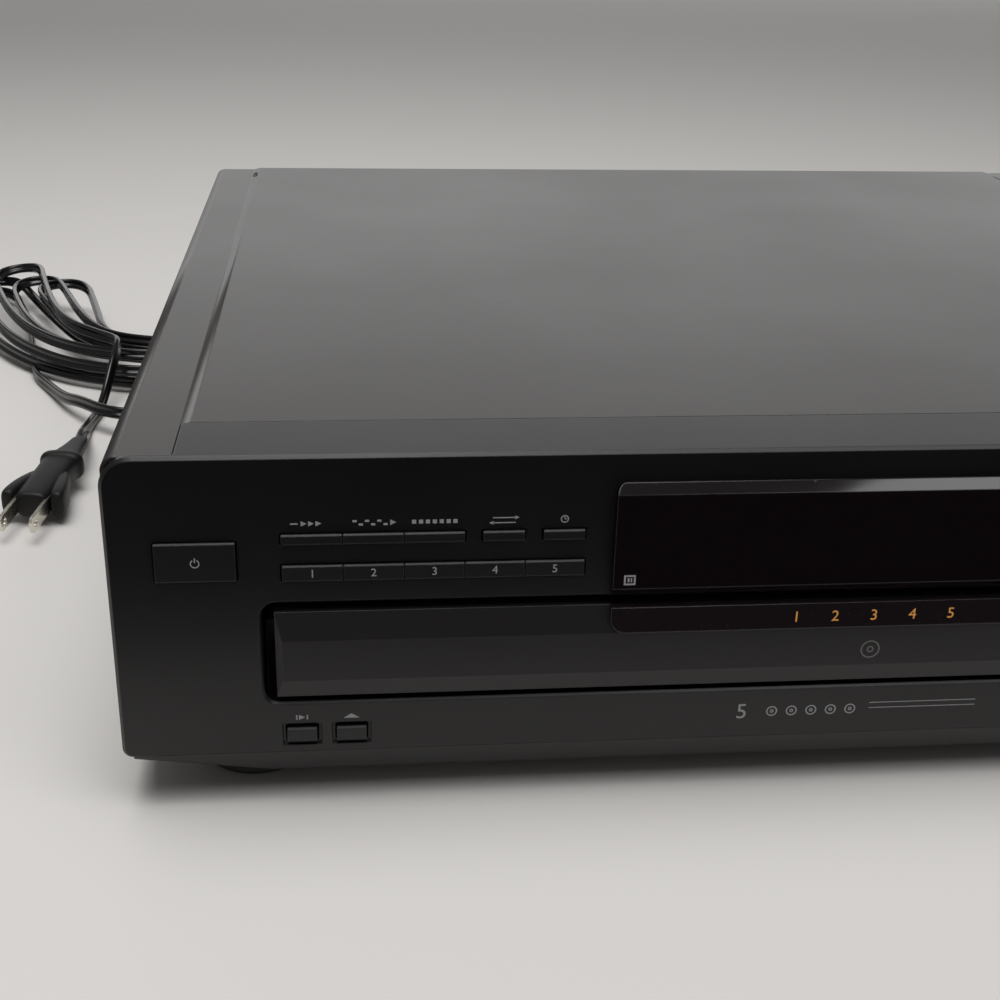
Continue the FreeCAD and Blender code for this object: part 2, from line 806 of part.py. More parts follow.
def front_boards():
    """Circuit boards behind the face: the display's, and the keys' with a switch just behind each key."""
    top, bottom = s.window_top - s.window_rim, s.window_bottom + s.window_rim
    half, deep, wall = s.display_board_half, FACE + s.display_board_depth, s.board_wall
    board = box(-half, deep, bottom - 2, half, deep + wall, top + 2)
    tube = box(25 - half, BEHIND + 1.5, bottom + 1, half - 25, deep, top - 1)
    front = BEHIND + s.seam + s.key_lip_wall + s.key_travel + 0.2
    plate = FACE + s.key_board_depth
    left = [box(-206, plate, s.disc_z - 5, -79, plate + wall, s.slim_z + 5)]
    right = [box(79, plate, s.disc_z - 5, 207, plate + wall, s.skip_z + 6)]
    low = [box(-173, plate, s.small_z - 4, -140, plate + wall, s.small_z + 4)]
    for bottom, height, ends in key_rows():
        for name, first, last in ends:
            side = left if float(first) < 0 else right
            x, z = (first + last) / 2, bottom + height / 2
            side.append(box(x - 1.5, front, z - 1.3, x + 1.5, plate, z + 1.3))
    for name, x in small_keys():
        low.append(box(x - 1.5, front, s.small_z - 1.3, x + 1.5, plate, s.small_z + 1.3))
    stem_end = FACE + s.plate * 2 + s.seam
    right.append(cylinder(s.dial_x, stem_end, s.dial_z, s.knob_radius, plate - stem_end, "Y"))
    turner = [cylinder(s.knob_x, stem_end, s.knob_z, s.knob_radius, plate - stem_end, "Y")]
    turner.append(box(s.knob_x - 9, plate, s.jack_z + 8, s.knob_x + 9, plate + wall, s.knob_z + 8))
    boards = [joined([board, tube])] + [joined(parts) for parts in (left, right, low, turner)]
    keep(group(boards), "front_boards")


def turned_knob(name, x, z, radius, reach, sink, stem):
    """A round knob about Y, with its stem through the panel."""
    body = new_body(name)
    profile = sketch(body, "XY_Plane")
    polygon(profile, [
        (0, -reach), (radius - 1.6, -reach), (radius - 0.5, -reach + 0.6), (radius, -reach + 1.8),
        (radius, sink), (stem, sink), (stem, s.plate * 2), (0, s.plate * 2),
    ])
    turn(body, profile)
    place(body, x, FACE, z)
    return body


def knobs():
    reach, radius = s.front_reach, s.dial_radius
    dial = turned_knob("dial_body", s.dial_x, s.dial_z, radius, reach, s.plate * 0.2, radius * 0.3 - s.seam)
    dimple = document.addObject("Part::Sphere", "dimple")
    bind(dimple, "Radius", radius * 0.42)
    place(dimple, s.dial_x - radius * 0.4, FACE - reach - radius * 0.28, s.dial_z + radius * 0.25)
    keep(minus(dial, dimple), "jog_dial")
    stem = s.knob_radius * 0.55 - s.seam
    knob = turned_knob("knob_body", s.knob_x, s.knob_z, s.knob_radius, reach, -s.seam, stem)
    front, top = FACE - reach, s.knob_z + s.knob_radius
    mark = box(s.knob_x - 0.4, front - 1, s.knob_z + 1.5, s.knob_x + 0.4, front + 0.5, top)
    keep(minus(knob, mark), "level_knob")


def phones_jack():
    body = new_body("phones_jack")
    bore, collar = s.jack_bore, s.jack_bore + 2.9
    profile = sketch(body, "XY_Plane")
    barrel = bore + 1.3
    deep = s.jack_length - 1.5
    polygon(profile, [
        (bore, -1.5), (collar - 0.6, -1.5), (collar, -0.9), (collar, 0), (barrel, 0), (barrel, s.plate),
        (collar, s.plate), (collar, deep + 1.5), (0, deep + 1.5), (0, deep), (bore, deep),
    ])
    turn(body, profile)
    place(body, s.knob_x, FACE, s.jack_z)
    keep(body, "phones_jack")


# ---------------------------------------------------------------- drawer


def drawer_front():
    body = new_body("drawer_front")
    half, low, high = s.drawer_half, s.drawer_bottom, s.drawer_top
    edge = FACE - s.drawer_rim
    crest = edge - s.drawer_crease
    back = FACE + s.tray_front
    profile = sketch(body, "YZ_Plane")
    polygon(profile, [
        (back, low), (edge, low), (crest, s.lower_crease), (crest, s.upper_crease), (edge, high),
        (back, high),
    ])
    extrude(body, profile, half * 2, both=True)
    mitre = sketch(body, "XY_Plane", low - 1)
    reach = s.drawer_crease + 1
    for side in (-1, 1):
        polygon(mitre, [
            (half * side, edge), ((half - reach) * side, edge - reach), ((half + 1) * side, edge - reach),
            ((half + 1) * side, edge),
        ])
    cut(body, mitre, high - low + 2)
    cells = sketch(body, "XZ_Plane", back)
    count, web, rim = 6, 2.4, 3.0
    width = (half * 2 - rim * 2 - web * (count - 1)) / count
    for i in range(count):
        left = rim - half + (width + web) * i
        rectangle(cells, left, low + rim, left + width, high - rim)
    cut(body, cells, back - edge - s.plate, forward=False)
    return keep(body, "drawer_front")


def drawer_nose():
    """The glossy block on the drawer's upper band, in line with the display window above it."""
    body = new_body("drawer_nose")
    half, low, high = s.window_half, s.upper_crease, s.drawer_top
    front, edge = FACE - s.window_reach, FACE - s.drawer_rim
    outline = sketch(body, "XZ_Plane", front)
    rectangle(outline, -half, low, half, high)
    extrude(body, outline, edge - front)
    soften(body, 4.5, ALONG_Y, [(-half, None, low), (half, None, low)])
    slope = sketch(body, "YZ_Plane")
    crest, over = edge - s.drawer_crease, 2
    polygon(slope, [
        (crest, low), (edge, high), (edge + over, high + over), (edge + over, low - over),
        (crest, low - over),
    ])
    cut(body, slope, half * 3, both=True)
    return keep(body, "drawer_nose")


def pinion_place():
    """Where the carousel's pinion stands, in front and to the right of the carousel's axis."""
    distance = (s.ring_teeth + s.pinion_teeth) * s.ring_module / 2
    side = math.sqrt(0.5)
    return distance * side, AXIS_Y - distance * side


def drawer_tray():
    half, wall = s.tray_half, s.tray_wall
    front, back = FACE + s.tray_front, FACE + s.tray_back
    low, high = s.tray_floor, s.tray_top
    block = box(-half, front, low, half, back, high)
    tub = cylinder(0, AXIS_Y, low + wall, s.tub_radius, high - low)
    inset = box(wall - half, front + wall, low - 1, half - wall, back - wall, high - wall)
    corners = minus(inset, cylinder(0, AXIS_Y, low - 2, s.tub_radius + wall, high))
    gap_front = FACE + s.rear_gap_front
    rear_gap = box(-s.rear_gap_half, gap_front, low - 1, s.rear_gap_half, back + 1, high + 1)
    x, y = pinion_place()
    swing = cylinder(x, y, low - 1, s.ring_module * (s.pinion_teeth / 2 + 1.6), high - wall * 2 - low)
    shell = minus(block, tub, corners, rear_gap, swing)
    parts = [shell]
    runner_top = s.runner_bottom + s.runner_height
    for side in (-1, 1):
        ends = sorted((half * side, (half + s.runner_width) * side), key=float)
        parts.append(box(ends[0], front + 12, s.runner_bottom, ends[1], back, runner_top))
    root = low + wall / 2
    parts.append(cylinder(0, AXIS_Y, root, s.hub_radius * 1.8, s.carousel_bottom - s.seam - root))
    parts.append(cylinder(0, AXIS_Y, root, s.hub_radius, s.carousel_top - root))
    centre = float(FACE + s.loading_y)
    teeth = tooth_rack(
        float(s.rack_x), float(FACE + s.tray_front) + 14, centre + float(s.drawer_travel) + 8, centre,
        float(s.rack_module), float(s.rack_height), 6.0,
    )
    teeth.translate(Vector(0, 0, float(low - s.rack_height)))
    parts.append(solid(teeth, "rack"))
    parts.append(box(s.rack_x + 2, front, low, half, AXIS_Y, low + wall))
    return keep(joined(parts), "drawer_tray")


def carousel():
    body = new_body("carousel_plate")
    plate = sketch(body, "XY_Plane", s.carousel_bottom)
    circle(plate, 0, 0, s.carousel_radius)
    circle(plate, 0, 0, s.hub_radius + s.hub_fit)
    extrude(body, plate, s.carousel_top - s.carousel_bottom)
    cuts = []
    floor = s.carousel_top - s.well_depth
    for level, radius in ((floor, s.well_radius), (floor - s.small_well_depth, s.small_well_radius)):
        well = sketch(body, "XY_Plane", level)
        circle(well, 0, s.well_circle, radius)
        cuts.append(cut(body, well, s.carousel_top))
    slot = sketch(body, "XY_Plane", s.carousel_bottom - 1)
    rectangle(slot, -s.pickup_slot / 2, s.slot_inner, s.pickup_slot / 2, s.well_circle)
    cuts.append(cut(body, slot, s.carousel_top))
    eye = sketch(body, "XY_Plane", s.carousel_bottom - 1)
    circle(eye, 0, s.well_circle, s.pickup_slot / 2)
    cuts.append(cut(body, eye, s.carousel_top))
    hollow = sketch(body, "XY_Plane", s.carousel_bottom)
    circle(hollow, 0, 0, s.slot_inner - 3.5)
    circle(hollow, 0, 0, s.hub_radius * 1.9)
    cut(body, hollow, s.well_depth)
    pattern = body.newObject("PartDesign::PolarPattern", "wells")
    pattern.Originals = cuts
    pattern.Axis = (plate, ["N_Axis"])
    pattern.Angle = 360
    pattern.Occurrences = 5
    body.Tip = pattern
    place(body, 0, AXIS_Y, 0)
    document.recompute()

    ring_height = float(s.ring_height)
    heading = -45 + 180 / float(s.ring_teeth)
    teeth = involute_gear(s.ring_teeth, float(s.ring_module), ring_height, heading, 0.8, 1.1, 1)
    inner = float(s.ring_module) * float(s.ring_teeth) / 2 - 7
    teeth = teeth.cut(Part.makeCylinder(inner, ring_height * 3, Vector(0, 0, -ring_height)))
    teeth.translate(Vector(0, float(AXIS_Y), float(s.carousel_bottom) - ring_height))
    return keep(joined([body, solid(teeth, "ring_gear")]), "carousel")


def carousel_cap():
    body = new_body("carousel_cap")
    radius, low = s.hub_radius * 1.5, s.carousel_top + s.seam
    profile = sketch(body, "XZ_Plane")
    polygon(profile, [
        (0, s.carousel_top), (s.hub_radius - 1, s.carousel_top), (s.hub_radius - 1, low), (radius, low),
        (radius, low + 1), (radius - 3, low + 2.6), (4, low + 3), (3.2, low + 2.2), (0, low + 2.2),
    ])
    turn(body, profile)
    place(body, 0, AXIS_Y, 0)
    return keep(body, "carousel_cap")


def carousel_drive():
    x, y = pinion_place()
    shaft = 1.5
    height = float(s.ring_height)
    gear = involute_gear(s.pinion_teeth, float(s.ring_module), height, 135, 0.8, 1.1)
    gear = gear.cut(Part.makeCylinder(shaft + float(s.hub_fit), height * 3, Vector(0, 0, -height)))
    gear.translate(Vector(float(x), float(y), float(s.carousel_bottom - s.ring_height - s.seam)))
    keep(solid(gear), "carousel_pinion")
    ceiling = s.tray_top - s.tray_wall
    can = cylinder(x, y, ceiling - 8, s.hub_radius * 1.2, 8)
    pin = cylinder(x, y, s.carousel_bottom - s.ring_height - s.seam, shaft, ceiling - s.carousel_bottom - 2)
    collar = cylinder(x, y, s.carousel_bottom, shaft * 2.5, ceiling - 8 - s.carousel_bottom)
    keep(joined([can, pin, collar]), "carousel_motor")


# ---------------------------------------------------------------- mechanism


def drawer_rails():
    """Two rails that carry the tray's runners, each with a foot on the floor of the cabinet."""
    inner = s.tray_half + s.runner_width + 0.8
    ledge = s.tray_half + 0.7
    low, high = s.runner_bottom - s.seam, s.runner_bottom + s.runner_height + s.seam
    rails = {"left_rail": -1, "right_rail": 1}
    for name, side in rails.items():
        body = new_body(name)
        outline = [
            (inner, FLOOR), (inner + 14, FLOOR), (inner + 14, FLOOR + 2), (inner + 2.4, FLOOR + 2),
            (inner + 2.4, high + 2.4), (ledge, high + 2.4), (ledge, high), (inner, high),
            (inner, low), (ledge, low), (ledge, low - 2.4), (inner, low - 2.4),
        ]
        drawing = sketch(body, "XZ_Plane", FACE + s.shelf_depth * 0.8)
        polygon(drawing, [(x * side, z) for x, z in outline])
        extrude(body, drawing, s.tray_back - s.shelf_depth * 0.8)
        keep(body, name)


def clamp_bridge():
    """Sheet-metal bridge over the tray that holds the clamping puck."""
    body = new_body("clamp_bridge")
    wall = s.bridge_wall
    half = s.tray_half + s.runner_width + 0.8 + 2.4
    low = s.runner_bottom + s.runner_height + s.seam + 2.4
    top = s.bridge_bottom
    inner = half - wall
    sheet_profile = [
        (-half, low), (-half, top + wall), (half, top + wall), (half, low), (inner, low), (inner, top),
        (-inner, top), (-inner, low),
    ]
    bent = sketch(body, "XZ_Plane", PLAY_Y - 24)
    polygon(bent, sheet_profile)
    extrude(body, bent, 48)
    holes = sketch(body, "XY_Plane", top - 1)
    circle(holes, 0, PLAY_Y, s.puck_radius * 0.5 + s.seam)
    for side in (-1, 1):
        for i in (1, 2):
            centred(holes, 50 * i * side, PLAY_Y, 34, 26)
    cut(body, holes, wall * 3)
    return keep(body, "clamp_bridge")


def clamp_puck():
    body = new_body("clamp_puck")
    radius, low = s.puck_radius, s.puck_bottom
    neck = radius * 0.5
    above = s.bridge_bottom + s.bridge_wall + s.seam
    profile = sketch(body, "XZ_Plane")
    polygon(profile, [
        (0, low + 2.8), (s.spindle_radius + 1.2, low + 2.8), (s.spindle_radius + 1.2, low), (radius, low),
        (radius, low + 3), (neck, low + 4.2), (neck, above), (radius * 0.8, above),
        (radius * 0.8, above + 1.2), (0, above + 2),
    ])
    turn(body, profile)
    place(body, 0, PLAY_Y, 0)
    return keep(body, "clamp_puck")


def guide_posts():
    middle = FACE + (s.deck_front + s.deck_back) / 2
    reach = (s.deck_back - s.deck_front) / 2 - 6
    return [(s.guide_x * i, middle + reach * k) for i in (-1, 1) for k in (-1, 1)]


def lift_base():
    """Base of the optical unit's lift, with the four posts that the deck rides on."""
    front, back = FACE + s.deck_front - 4, FACE + s.deck_back + 4
    plate = box(-s.deck_half - 6, front, FLOOR, s.deck_half + 6, back, FLOOR + 2)
    window = box(-20, front + 20, FLOOR - 1, 20, back - 20, FLOOR + 3)
    top = s.deck_bottom + s.deck_wall + s.lift_travel
    posts = [cylinder(x, y, FLOOR + 1, s.guide_radius, top - FLOOR - 1) for x, y in guide_posts()]
    collars = [cylinder(x, y, FLOOR + 1, s.guide_radius * 2, 8) for x, y in guide_posts()]
    keep(joined([minus(plate, window)] + posts + collars), "lift_base")


def optical_deck():
    """Deck that rises to the disc, with the spindle motor's hole and the window that the pickup runs in."""
    body = new_body("optical_deck")
    front, back = FACE + s.deck_front, FACE + s.deck_back
    plate = sketch(body, "XY_Plane", s.deck_bottom)
    rectangle(plate, -s.deck_half, front, s.deck_half, back)
    for x, y in guide_posts():
        circle(plate, x, y, s.guide_radius + s.guide_fit)
    circle(plate, 0, PLAY_Y, 4)
    rectangle(plate, -13, front + 6, 13, PLAY_Y - 15)
    extrude(body, plate, s.deck_wall)
    hangers = sketch(body, "XY_Plane", s.deck_bottom - s.rail_drop - s.rail_radius)
    for y in (front + 3, PLAY_Y - 11):
        for side in (-1, 1):
            centred(hangers, s.rail_x * side, y, 6, 4)
    extrude(body, hangers, s.rail_drop + s.rail_radius)
    return keep(body, "optical_deck")


def sled_rails():
    first, last = FACE + s.deck_front + 5, PLAY_Y - 13
    level = s.deck_bottom - s.rail_drop
    rails = [cylinder(s.rail_x * side, first, level, s.rail_radius, last - first, "Y") for side in (-1, 1)]
    keep(group(rails), "sled_rails")


def spindle():
    body = new_body("disc_spindle")
    seat, radius = s.seat_height, s.seat_radius
    shoulder = s.deck_bottom + s.deck_wall + s.seam
    profile = sketch(body, "XZ_Plane")
    polygon(profile, [
        (0, shoulder), (4, shoulder), (4, seat - 2), (radius, seat - 2), (radius, seat),
        (s.spindle_radius, seat), (s.spindle_radius, seat + 1.2),
        (s.spindle_radius - 1.6, seat + s.spindle_rise), (0, seat + s.spindle_rise),
    ])
    turn(body, profile)
    place(body, 0, PLAY_Y, 0)
    keep(body, "disc_spindle")
    can = cylinder(0, PLAY_Y, s.deck_bottom - 9, s.hub_radius * 1.2, 9)
    neck = cylinder(0, PLAY_Y, s.deck_bottom - 1, 3.4, s.deck_wall + 1)
    keep(joined([can, neck]), "spindle_motor")


def pickup_sled():
    """Carriage on the two rails, with the lens block standing through the deck's window."""
    level = s.deck_bottom - s.rail_drop
    front = PLAY_Y - s.lens_reach - 7
    low, high = level - 3.2, s.deck_bottom - s.seam
    carriage = box(-s.rail_x - 4, front, low, s.rail_x + 4, front + 14, high)
    tower = box(-9, front + 1, low, 9, front + 13, s.seat_height - 3)
    bores = [cylinder(s.rail_x * i, front - 1, level, s.rail_radius + s.guide_fit, 16, "Y") for i in (-1, 1)]
    keep(minus(joined([carriage, tower]), *bores), "pickup_sled")
    keep(cylinder(0, front + 7, s.seat_height - 3, 3.2, 1.4), "pickup_lens")


def loading_drive():
    module, teeth = float(s.rack_module), float(s.loading_teeth)
    x, y = s.rack_x - s.rack_module * s.loading_teeth / 2, FACE + s.loading_y
    height = float(s.rack_height) - 0.4
    gear = involute_gear(teeth, module, height, 0)
    level = s.tray_floor - s.rack_height
    pulley = Part.makeCylinder(9, 3, Vector(0, 0, -3))
    gear = gear.fuse(pulley).cut(Part.makeCylinder(2 + float(s.hub_fit), 12, Vector(0, 0, -6)))
    gear.translate(Vector(float(x), float(y), float(level)))
    keep(solid(gear), "loading_gear")
    base = box(x - 34, y - 14, FLOOR, x + 16, y + 16, FLOOR + 2)
    post = cylinder(x, y, FLOOR + 1, 2, s.tray_floor - s.seam - FLOOR - 1)
    collar = cylinder(x, y, FLOOR + 1, 5, level - 3 - s.seam - FLOOR - 1)
    can = cylinder(x - 22, y, FLOOR + 2, 10.5, 13)
    wheel = cylinder(x - 22, y, FLOOR + 15, 4, 4)
    keep(joined([base, post, collar, can, wheel]), "loading_drive")


def electronics():
    left, front = -150, FACE + 30
    board = box(left, front, FLOOR + 5, left + 230, front + 150, FLOOR + 6.6)
    legs = [cylinder(left + 8 + 214 * i, front + 8 + 134 * k, FLOOR, 3, 5.5) for i in (0, 1) for k in (0, 1)]
    chips = []
    for i in range(4):
        x = left + 30 + 52 * i
        chips.append(box(x, front + 60, FLOOR + 6, x + 24, front + 84, FLOOR + 9))
    cans = [cylinder(left + 24 + 18 * i, front + 120, FLOOR + 6, 5, 15) for i in range(4)]
    keep(joined([board] + legs + chips + cans), "main_board")
    x, y = s.relief_x + s.transformer_offset, REAR - s.sheet_wall - 21
    core = box(x - 26, y - 17, FLOOR, x + 26, y + 17, FLOOR + 42)
    coil = box(x - 16, y - 20, FLOOR + 9, x + 16, y + 20, FLOOR + 33)
    keep(joined([core, coil]), "transformer")


def output_sockets():
    """Two phono sockets: a metal collar round a moulded core with the centre contact's hole."""
    shells, cores = [], []
    reach = s.rear_reach + s.sheet_wall
    for i in range(2):
        x = s.socket_x + s.socket_pitch * i
        collar = cylinder(x, REAR, s.socket_z, s.socket_radius, reach, "Y")
        flange = cylinder(x, REAR, s.socket_z, s.socket_radius + 1.6, 1.0, "Y")
        inside = cylinder(x, REAR - 1, s.socket_z, s.socket_radius - 0.6, reach + 2, "Y")
        shells.append(minus(joined([collar, flange]), inside))
        core = cylinder(x, REAR - 6, s.socket_z, s.socket_radius - 0.6, 5 + reach, "Y")
        cores.append(minus(core, cylinder(x, REAR, s.socket_z, s.socket_bore, reach + 2, "Y")))
    left, right = s.socket_x - 8, s.socket_x + s.socket_pitch + 8
    housing = box(left, REAR - 14, s.socket_z - 8, right, REAR - s.sheet_wall, s.socket_z + 9)
    keep(group(shells), "socket_collars")
    keep(joined(cores + [housing]), "socket_cores")


# ---------------------------------------------------------------- mains cord

CORD_START = [
    (-190, 215, 26), (-190, 230, 26), (-196, 244, 19), (-210, 254, 8), (-227, 252, 3.4), (-238, 238, 3.4),
    (-237, 218, 3.4), (-233, 196, 3.4), (-230, 173, 3.4), (-229, 151, 3.6), (-230, 130, 4.6),
    (-236, 112, 7.8), (-248.5, 103, 11), (-265, 105.5, 11.8), (-281, 127, 10), (-290.5, 141, 6.2),
    (-304, 169, 3.4), (-314.5, 188, 3.4), (-321, 220, 3.4), (-323.5, 232, 3.8),
]
CORD_END = [
    (-268.5, 180, 24), (-267, 170, 24), (-268.5, 156, 17.5), (-270.5, 144, 8.5), (-272, 130, 3.2), (-274, 114, 3),
    (-274, 98, 4.5), (-271.6, 82, 9.5), (-270, 66, 12.5),
]
# Ovals round the folded cord: place, half width, half height, and the way that they face in degrees.
HANK = [
    (-238, 178, 12.0, 14, 9.5, 172), (-262, 181, 14.0, 19, 12.0, 165), (-284, 190, 15.0, 22, 13.5, 148),
    (-305, 212, 14.5, 27, 13.0, 126), (-326, 252, 13.5, 34, 12.0, 113), (-342, 296, 13.0, 35, 11.5, 108),
    (-360, 343, 12.0, 23, 9.0, 108),
]


def cord_tube(name, route, diameter):
    """A plain tube along straight runs joined by tangent arcs, as large as the runs allow.

    Its section is an octagon of the round cord's area.
    """
    points = [Vector(*point) for point in route]
    edges, radii, here = [], [], points[0]
    for before, corner, after in zip(points, points[1:], points[2:]):
        arriving, leaving = corner - before, after - corner
        turn_angle = arriving.getAngle(leaving)
        back_off = 0.45 * min(arriving.Length, leaving.Length)
        arriving.normalize()
        leaving.normalize()
        start, end = corner - arriving * back_off, corner + leaving * back_off
        half_turn = turn_angle / 2
        radius = back_off / math.tan(half_turn)
        radii.append(radius)
        outward = (leaving - arriving).normalize()
        middle = corner + outward * (radius / math.cos(half_turn) - radius)
        edges.append(Part.LineSegment(here, start).toShape())
        edges.append(Part.Arc(start, middle, end).toShape())
        here = end
    edges.append(Part.LineSegment(here, points[-1]).toShape())
    path = Part.Wire(edges)
    area = math.pi * diameter ** 2 / 4
    reach = math.sqrt(area / (4 * math.sin(math.pi / 4)))
    along = (points[1] - points[0]).normalize()
    across = along.cross(ALONG_Z).normalize()
    upward = across.cross(along)
    corners = []
    for k in range(8):
        angle = math.pi / 4 * (k + 0.5)
        corners.append(points[0] + across * (reach * math.cos(angle)) + upward * (reach * math.sin(angle)))
    section = Part.makePolygon(corners + corners[:1])
    tube = path.makePipeShell([section], True, False)
    expected = area * path.Length
    listed = ", ".join(f"{radius:.0f}" for radius in radii)
    print(f"{name}: {path.Length:.0f} mm, radii {listed}, volume {tube.Volume / expected:.4f}")
    if abs(tube.Volume / expected - 1) > 0.01:
        raise ValueError(f"{name} has lost part of its volume")
    return keep(solid(tube), name)


def cord_hank():
    """Outer shape of the folded cord: a fan of ovals, narrow where it is bound and wide at its open end."""
    sides = 12
    rings = []
    for x, y, z, half_width, half_height, heading in HANK:
        along = Vector(math.cos(math.radians(heading)), math.sin(math.radians(heading)), 0)
        across = Vector(-along.y, along.x, 0)
        ring = []
        for i in range(sides):
            angle = 2 * math.pi * i / sides
            reach = across * (half_width * math.cos(angle))
            ring.append(Vector(x, y, z) + reach + ALONG_Z * (half_height * math.sin(angle)))
        rings.append(ring)
    faces = [rings[0], rings[-1]]
    for ring, beyond in zip(rings, rings[1:]):
        for i in range(sides):
            k = (i + 1) % sides
            faces.append([ring[i], ring[k], beyond[i]])
            faces.append([ring[k], beyond[k], beyond[i]])
    shell = Part.makeShell([Part.Face(Part.makePolygon(corners + corners[:1])) for corners in faces])
    keep(solid(Part.makeSolid(shell)), "cord_hank")


def cord_relief():
    """Tapered relief that holds the cord in the rear panel."""
    body = new_body("cord_relief")
    radius = s.cord_diameter
    wall, length = s.sheet_wall, s.relief_length
    profile = sketch(body, "XY_Plane")
    polygon(profile, [
        (0, -6), (radius * 1.2, -6), (radius * 1.2, -wall), (radius - 0.1, -wall), (radius - 0.1, 0),
        (radius * 1.25, 0), (radius * 1.1, 2.5), (radius * 0.62, length), (0, length),
    ])
    turn(body, profile)
    place(body, s.relief_x, REAR, s.relief_z)
    return keep(body, "cord_relief")


PLUG_PLACE = Vector(-280, 1, 9)
PLUG_NECK = Vector(-270, 66, 12.5)


def plug_placement():
    """Where the plug lies: its own +X runs from its face to its neck."""
    along = PLUG_NECK - PLUG_PLACE
    lean = math.degrees(math.asin(along.z / along.Length))
    turned = Rotation(ALONG_Z, math.degrees(math.atan2(along.y, along.x)))
    return Placement(PLUG_PLACE, turned.multiply(Rotation(ALONG_Y, -lean)))


def mains_plug():
    """Flat two-blade plug with finger wings and a tapered neck."""
    half, thick, waist = 11.5, 6.5, 7.0
    shoulder, grip = 20.0, 36.0
    wall, wide = float(s.blade_wall), float(s.blade_width)

    def slab(points, low, high, bevel=0):
        face = Part.Face(Part.makePolygon([Vector(x, y, low) for x, y in points + points[:1]]))
        block = face.extrude(Vector(0, 0, high - low))
        flat = [edge for edge in block.Edges if abs(edge.BoundBox.ZLength) < 0.01]
        return block.makeChamfer(bevel, flat) if bevel else block

    core = [(0, half), (shoulder, half), (grip - 2, waist + 1.5), (grip, waist + 1.5)]
    core += [(x, -y) for x, y in core[::-1]]
    band = [(grip - 2, waist + 3), (grip + 2, waist + 3)]
    band += [(x, -y) for x, y in band[::-1]]
    neck_length = (PLUG_NECK - PLUG_PLACE).Length - grip - 1
    parts = [slab(band, -thick - 0.8, thick + 0.8, 0.8)]
    parts.append(Part.makeCone(waist, 4.2, neck_length, Vector(grip + 1, 0, 0), ALONG_X))
    for side in (-1, 1):
        wing = [
            (0, half), (9, half + 4.5), (16, half + 4.5), (shoulder + 2, half - 1), (12, half - 2),
            (0, half - 2),
        ]
        parts.append(slab([(x, y * side) for x, y in wing], -thick / 2, thick / 2, 0.8))
    plug = slab(core, -thick, thick, 1.2).multiFuse(parts)
    slots = []
    for side in (-1, 1):
        corner = Vector(-1, float(s.blade_spacing) / 2 * side - wall / 2, -wide / 2)
        slots.append(Part.makeBox(6, wall, wide, corner))
    piece = solid(plug.cut(Part.makeCompound(slots)))
    piece.Placement = plug_placement()
    keep(piece, "mains_plug")


def plug_blades():
    """Two flat blades with bevelled tips and a hole near each tip."""
    reach, wide, wall = float(s.blade_length), float(s.blade_width), float(s.blade_wall)
    blades = []
    for side in (-1, 1):
        y = float(s.blade_spacing) / 2 * side
        blade = Part.makeBox(reach + 5, wall, wide, Vector(-reach, y - wall / 2, -wide / 2))
        ends = [edge for edge in blade.Edges if abs(edge.CenterOfMass.x + reach) < 0.01]
        blade = blade.makeChamfer(wall * 0.9, [edge for edge in ends if edge.Length < wall * 1.1])
        hole = Part.makeCylinder(1.6, wall * 4, Vector(4 - reach, y - wall * 2, 0), ALONG_Y)
        blades.append(blade.cut(hole))
    pair = solid(Part.makeCompound(blades))
    pair.Placement = plug_placement()
    keep(pair, "plug_blades")


# ---------------------------------------------------------------- build and write


def check():
    document.recompute()
    for thing in document.Objects:
        if any(word in ("Invalid", "Error") for word in thing.State):
            raise ValueError(f"{thing.Name} ({thing.Label}) is {thing.State}")
        base = getattr(thing, "BaseFeature", None)
        if thing.TypeId == "PartDesign::Pocket" and base and thing.Shape.Volume >= base.Shape.Volume:
            raise ValueError(f"{thing.Name} cuts nothing")
    for node in nodes:
        if node.Shape.isNull() or not node.Shape.isValid():
            raise ValueError(f"{node.Label} has no valid shape")


def write():
    os.makedirs("parts", exist_ok=True)
    for node in nodes:
        node.Shape.exportStep(f"parts/{node.Label}.step")


def main():
    front_panel()
    top_cover()
    bottom_chassis()
    rear_panel()
    feet()
    screw_heads()
    display_window()
    make_keys()
    front_boards()
    knobs()
    phones_jack()
    drawer_front()
    drawer_nose()
    drawer_tray()
    carousel()
    carousel_cap()
    carousel_drive()
    drawer_rails()
    clamp_bridge()
    clamp_puck()
    lift_base()
    optical_deck()
    sled_rails()
    spindle()
    pickup_sled()
    loading_drive()
    electronics()
    output_sockets()
    cord_relief()
    cord_tube("power_cord", CORD_START, float(s.cord_diameter))
    cord_tube("cord_tail", CORD_END, float(s.cord_diameter))
    cord_hank()
    mains_plug()
    plug_blades()
    check()
    write()
    print(len(nodes), "nodes")


main()
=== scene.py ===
"""Dresses the five-disc carousel changer: finishes, printed marks, mains lead and studio, in metres.

The packed model is the frame. Its nodes get finishes, and each piece made here rides on one of its bodies.
"""

import json
import math

import bmesh
import bpy
from bpy.props import FloatProperty, FloatVectorProperty, PointerProperty
from mathutils import Matrix, Vector


